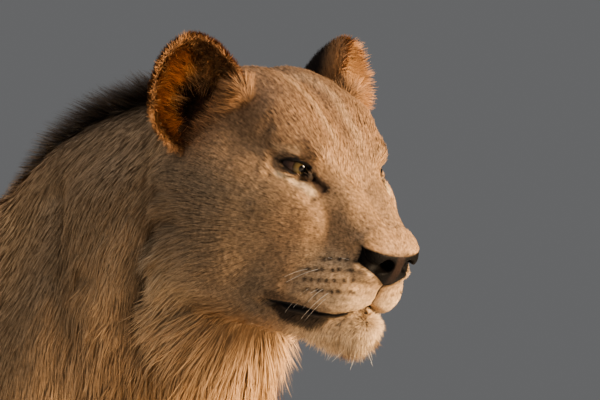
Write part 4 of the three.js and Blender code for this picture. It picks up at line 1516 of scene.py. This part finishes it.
def bristle(points, faces, root, direction, sag, length, thickness):
    # A tapered hair that curves down and back.
    stages, sides = whiskers["stages"], whiskers["sides"]
    direction = direction / np.linalg.norm(direction)
    across = np.cross(direction, (0.3, 0.2, 1.0))
    across /= np.linalg.norm(across)
    other = np.cross(across, direction)
    base = len(points)
    for stage in range(stages):
        t = stage / (stages - 1)
        middle = root + direction * length * t + np.array(sag) * length * t * t
        wide = thickness / 2 * (1 - t) ** 0.7 + 0.05
        for n in range(sides):
            turn = 2 * math.pi * n / sides
            points.append(middle + wide * (across * math.cos(turn) + other * math.sin(turn)))
    faces.extend(tubeFaces(stages, sides, base))


def whiskerPiece():
    chance = np.random.default_rng(21)
    points, faces = [], []
    front = (hx > 150) & ~onEar & (bare < 0.5)
    top, slope, apart = (whiskerRows[key] for key in ("top", "slope", "apart"))
    for hand in (1, -1):
        here = np.flatnonzero(front & (np.sign(side) == hand))
        for spot in whiskerSpots():
            if chance.random() < whiskers["missing"] or spot[0] > whiskers["frontmost"]:
                continue
            off = (hx[here] - spot[0]) ** 2 + (hz[here] - spot[2]) ** 2 + 400 * (hy[here] < 15)
            root = hm[here[np.argmin(off)]] * (1, hand, 1)
            row = (top - spot[2] - slope * (whiskerRows["front"] - spot[0])) / apart
            along = np.array((-0.76, 0.46 * hand, -0.06 - 0.20 * row))
            along = along + chance.normal(0, 0.07, 3)
            length = whiskers["length"] * chance.uniform(0.35, 1.1)
            sag = (-0.25, -0.2 * hand, -0.2 - 0.12 * row - chance.uniform(0.0, 0.25))
            thickness = whiskers["thickness"] * chance.uniform(0.7, 1.2)
            bristle(points, faces, root, along, sag, length, thickness)
        for n in range(whiskers["onChin"]):
            off = (hx[here] - 262 - 5 * n) ** 2 + (hz[here] + 100) ** 2
            root = hm[here[np.argmin(off)]] * (1, hand, 1)
            along = np.array((0.2, 0.35 * hand, -0.9)) + chance.normal(0, 0.2, 3)
            length = chance.uniform(16, 32)
            bristle(points, faces, root, along, (-0.1, 0.0, 0.0), length, whiskers["chinThickness"])
    mesh = meshOf("whiskers", inScene(points), faces)
    mesh.shade_smooth()
    material, graph, shader = newMaterial("whisker", Roughness=0.4)
    tint = graph.noise(graph.node("ShaderNodeTexCoord", out="Object"), 60, 2)
    feed(graph, shader, Base_Color=graph.mixed(tint, (0.95, 0.9, 0.8, 1), (0.7, 0.6, 0.48, 1)))
    mesh.materials.append(material)
    return placed("whiskers", mesh)


bristles = whiskerPiece()
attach(bristles, "root")
for blade in (kite, lock):
    bpy.data.objects.remove(blade)
for unused in hairInputs:
    skin.attributes.remove(skin.attributes[unused])


studio = {
    "floor": (0.62, 0.58, 0.53),
    "sky": (0.485, 0.49, 0.50),
    "skyStrength": 0.29,
    "keyPower": 500,
    "keyColour": (1.0, 0.78, 0.54),
    "fillPower": 46,
    "fillColour": (0.64, 0.81, 1.0),
    "backPower": 60,
    "backColour": (1.0, 0.95, 0.9),
    "overheadPower": 145,
    "overheadColour": (0.94, 0.97, 1.0),
    "floorHalf": 12,  # metres from the middle to an edge
    "cameraDistance": 7.0,
    "cameraAzimuth": 37.62,
    "cameraElevation": 0.53,
    "cameraRoll": 0.54,
    "lens": 403.4,
    "aim": (-0.0282, -0.0139, -0.0366),  # from the middle between the eyes
}


def floorPiece():
    size = studio["floorHalf"]
    corners = [(x * size, y * size, 0) for x, y in ((-1, -1), (1, -1), (1, 1), (-1, 1))]
    mesh = meshOf("floor", corners, [(0, 1, 2, 3)])
    material, graph, shader = newMaterial("floor", Roughness=0.9)
    wear = graph.noise(graph.node("ShaderNodeTexCoord", out="Object"), 3, 6)
    base = studio["floor"]
    feed(graph, shader, Base_Color=graph.mixed(wear, (*base, 1), (*(0.92 * c for c in base), 1)))
    mesh.materials.append(material)
    return placed("floor", mesh)


def softbox(name, place, aim, size, mirroredInEyes=False):
    lamp = bpy.data.lights.new(name, "AREA")
    lamp.shape, lamp.size = "DISK", size
    lamp.energy, lamp.color = studio[name + "Power"], studio[name + "Colour"]
    light = placed(name, lamp)
    light.location = place
    light.visible_glossy = mirroredInEyes
    light.rotation_euler = (Vector(aim) - Vector(place)).to_track_quat("-Z", "Y").to_euler()


floorPiece()
world = bpy.data.worlds.new("studio")
world.use_nodes = True
background = world.node_tree.nodes["Background"]
background.inputs["Color"].default_value = (*studio["sky"], 1)
background.inputs["Strength"].default_value = studio["skyStrength"]
bpy.context.scene.world = world
middle = Vector((leftEye + rightEye) / 2 * mm)
softbox("key", middle + Vector((3.2, 0.6, 0.5)), middle, 1.6, mirroredInEyes=True)
softbox("fill", middle + Vector((0.6, -3.6, 1.6)), middle, 3.0)
softbox("back", middle + Vector((-3.6, 1.4, 1.8)), middle - Vector((0.8, 0, 0.4)), 2.4)
softbox("overhead", (0, 0, 4.6), (0, 0, 0), 5.0)


def cameraPlace(aim):
    a, e, roll = (math.radians(studio["camera" + key]) for key in ("Azimuth", "Elevation", "Roll"))
    back = Vector((math.sin(a) * math.cos(e), -math.cos(a) * math.cos(e), math.sin(e)))
    right = Vector((0, 0, 1)).cross(back).normalized()
    upward = back.cross(right)
    place = Matrix((right, upward, back)).transposed().to_4x4()
    place.translation = aim + back * studio["cameraDistance"]
    return place @ Matrix.Rotation(roll, 4, "Z")


lens = bpy.data.cameras.new("camera")
lens.lens = studio["lens"]
camera = placed("camera", lens)
camera.matrix_world = cameraPlace(middle + Vector(studio["aim"]))
bpy.context.scene.camera = camera
bpy.context.scene.view_settings.view_transform = "AgX"
bpy.context.scene.view_settings.look = "AgX - Medium High Contrast"
print("stage: studio")
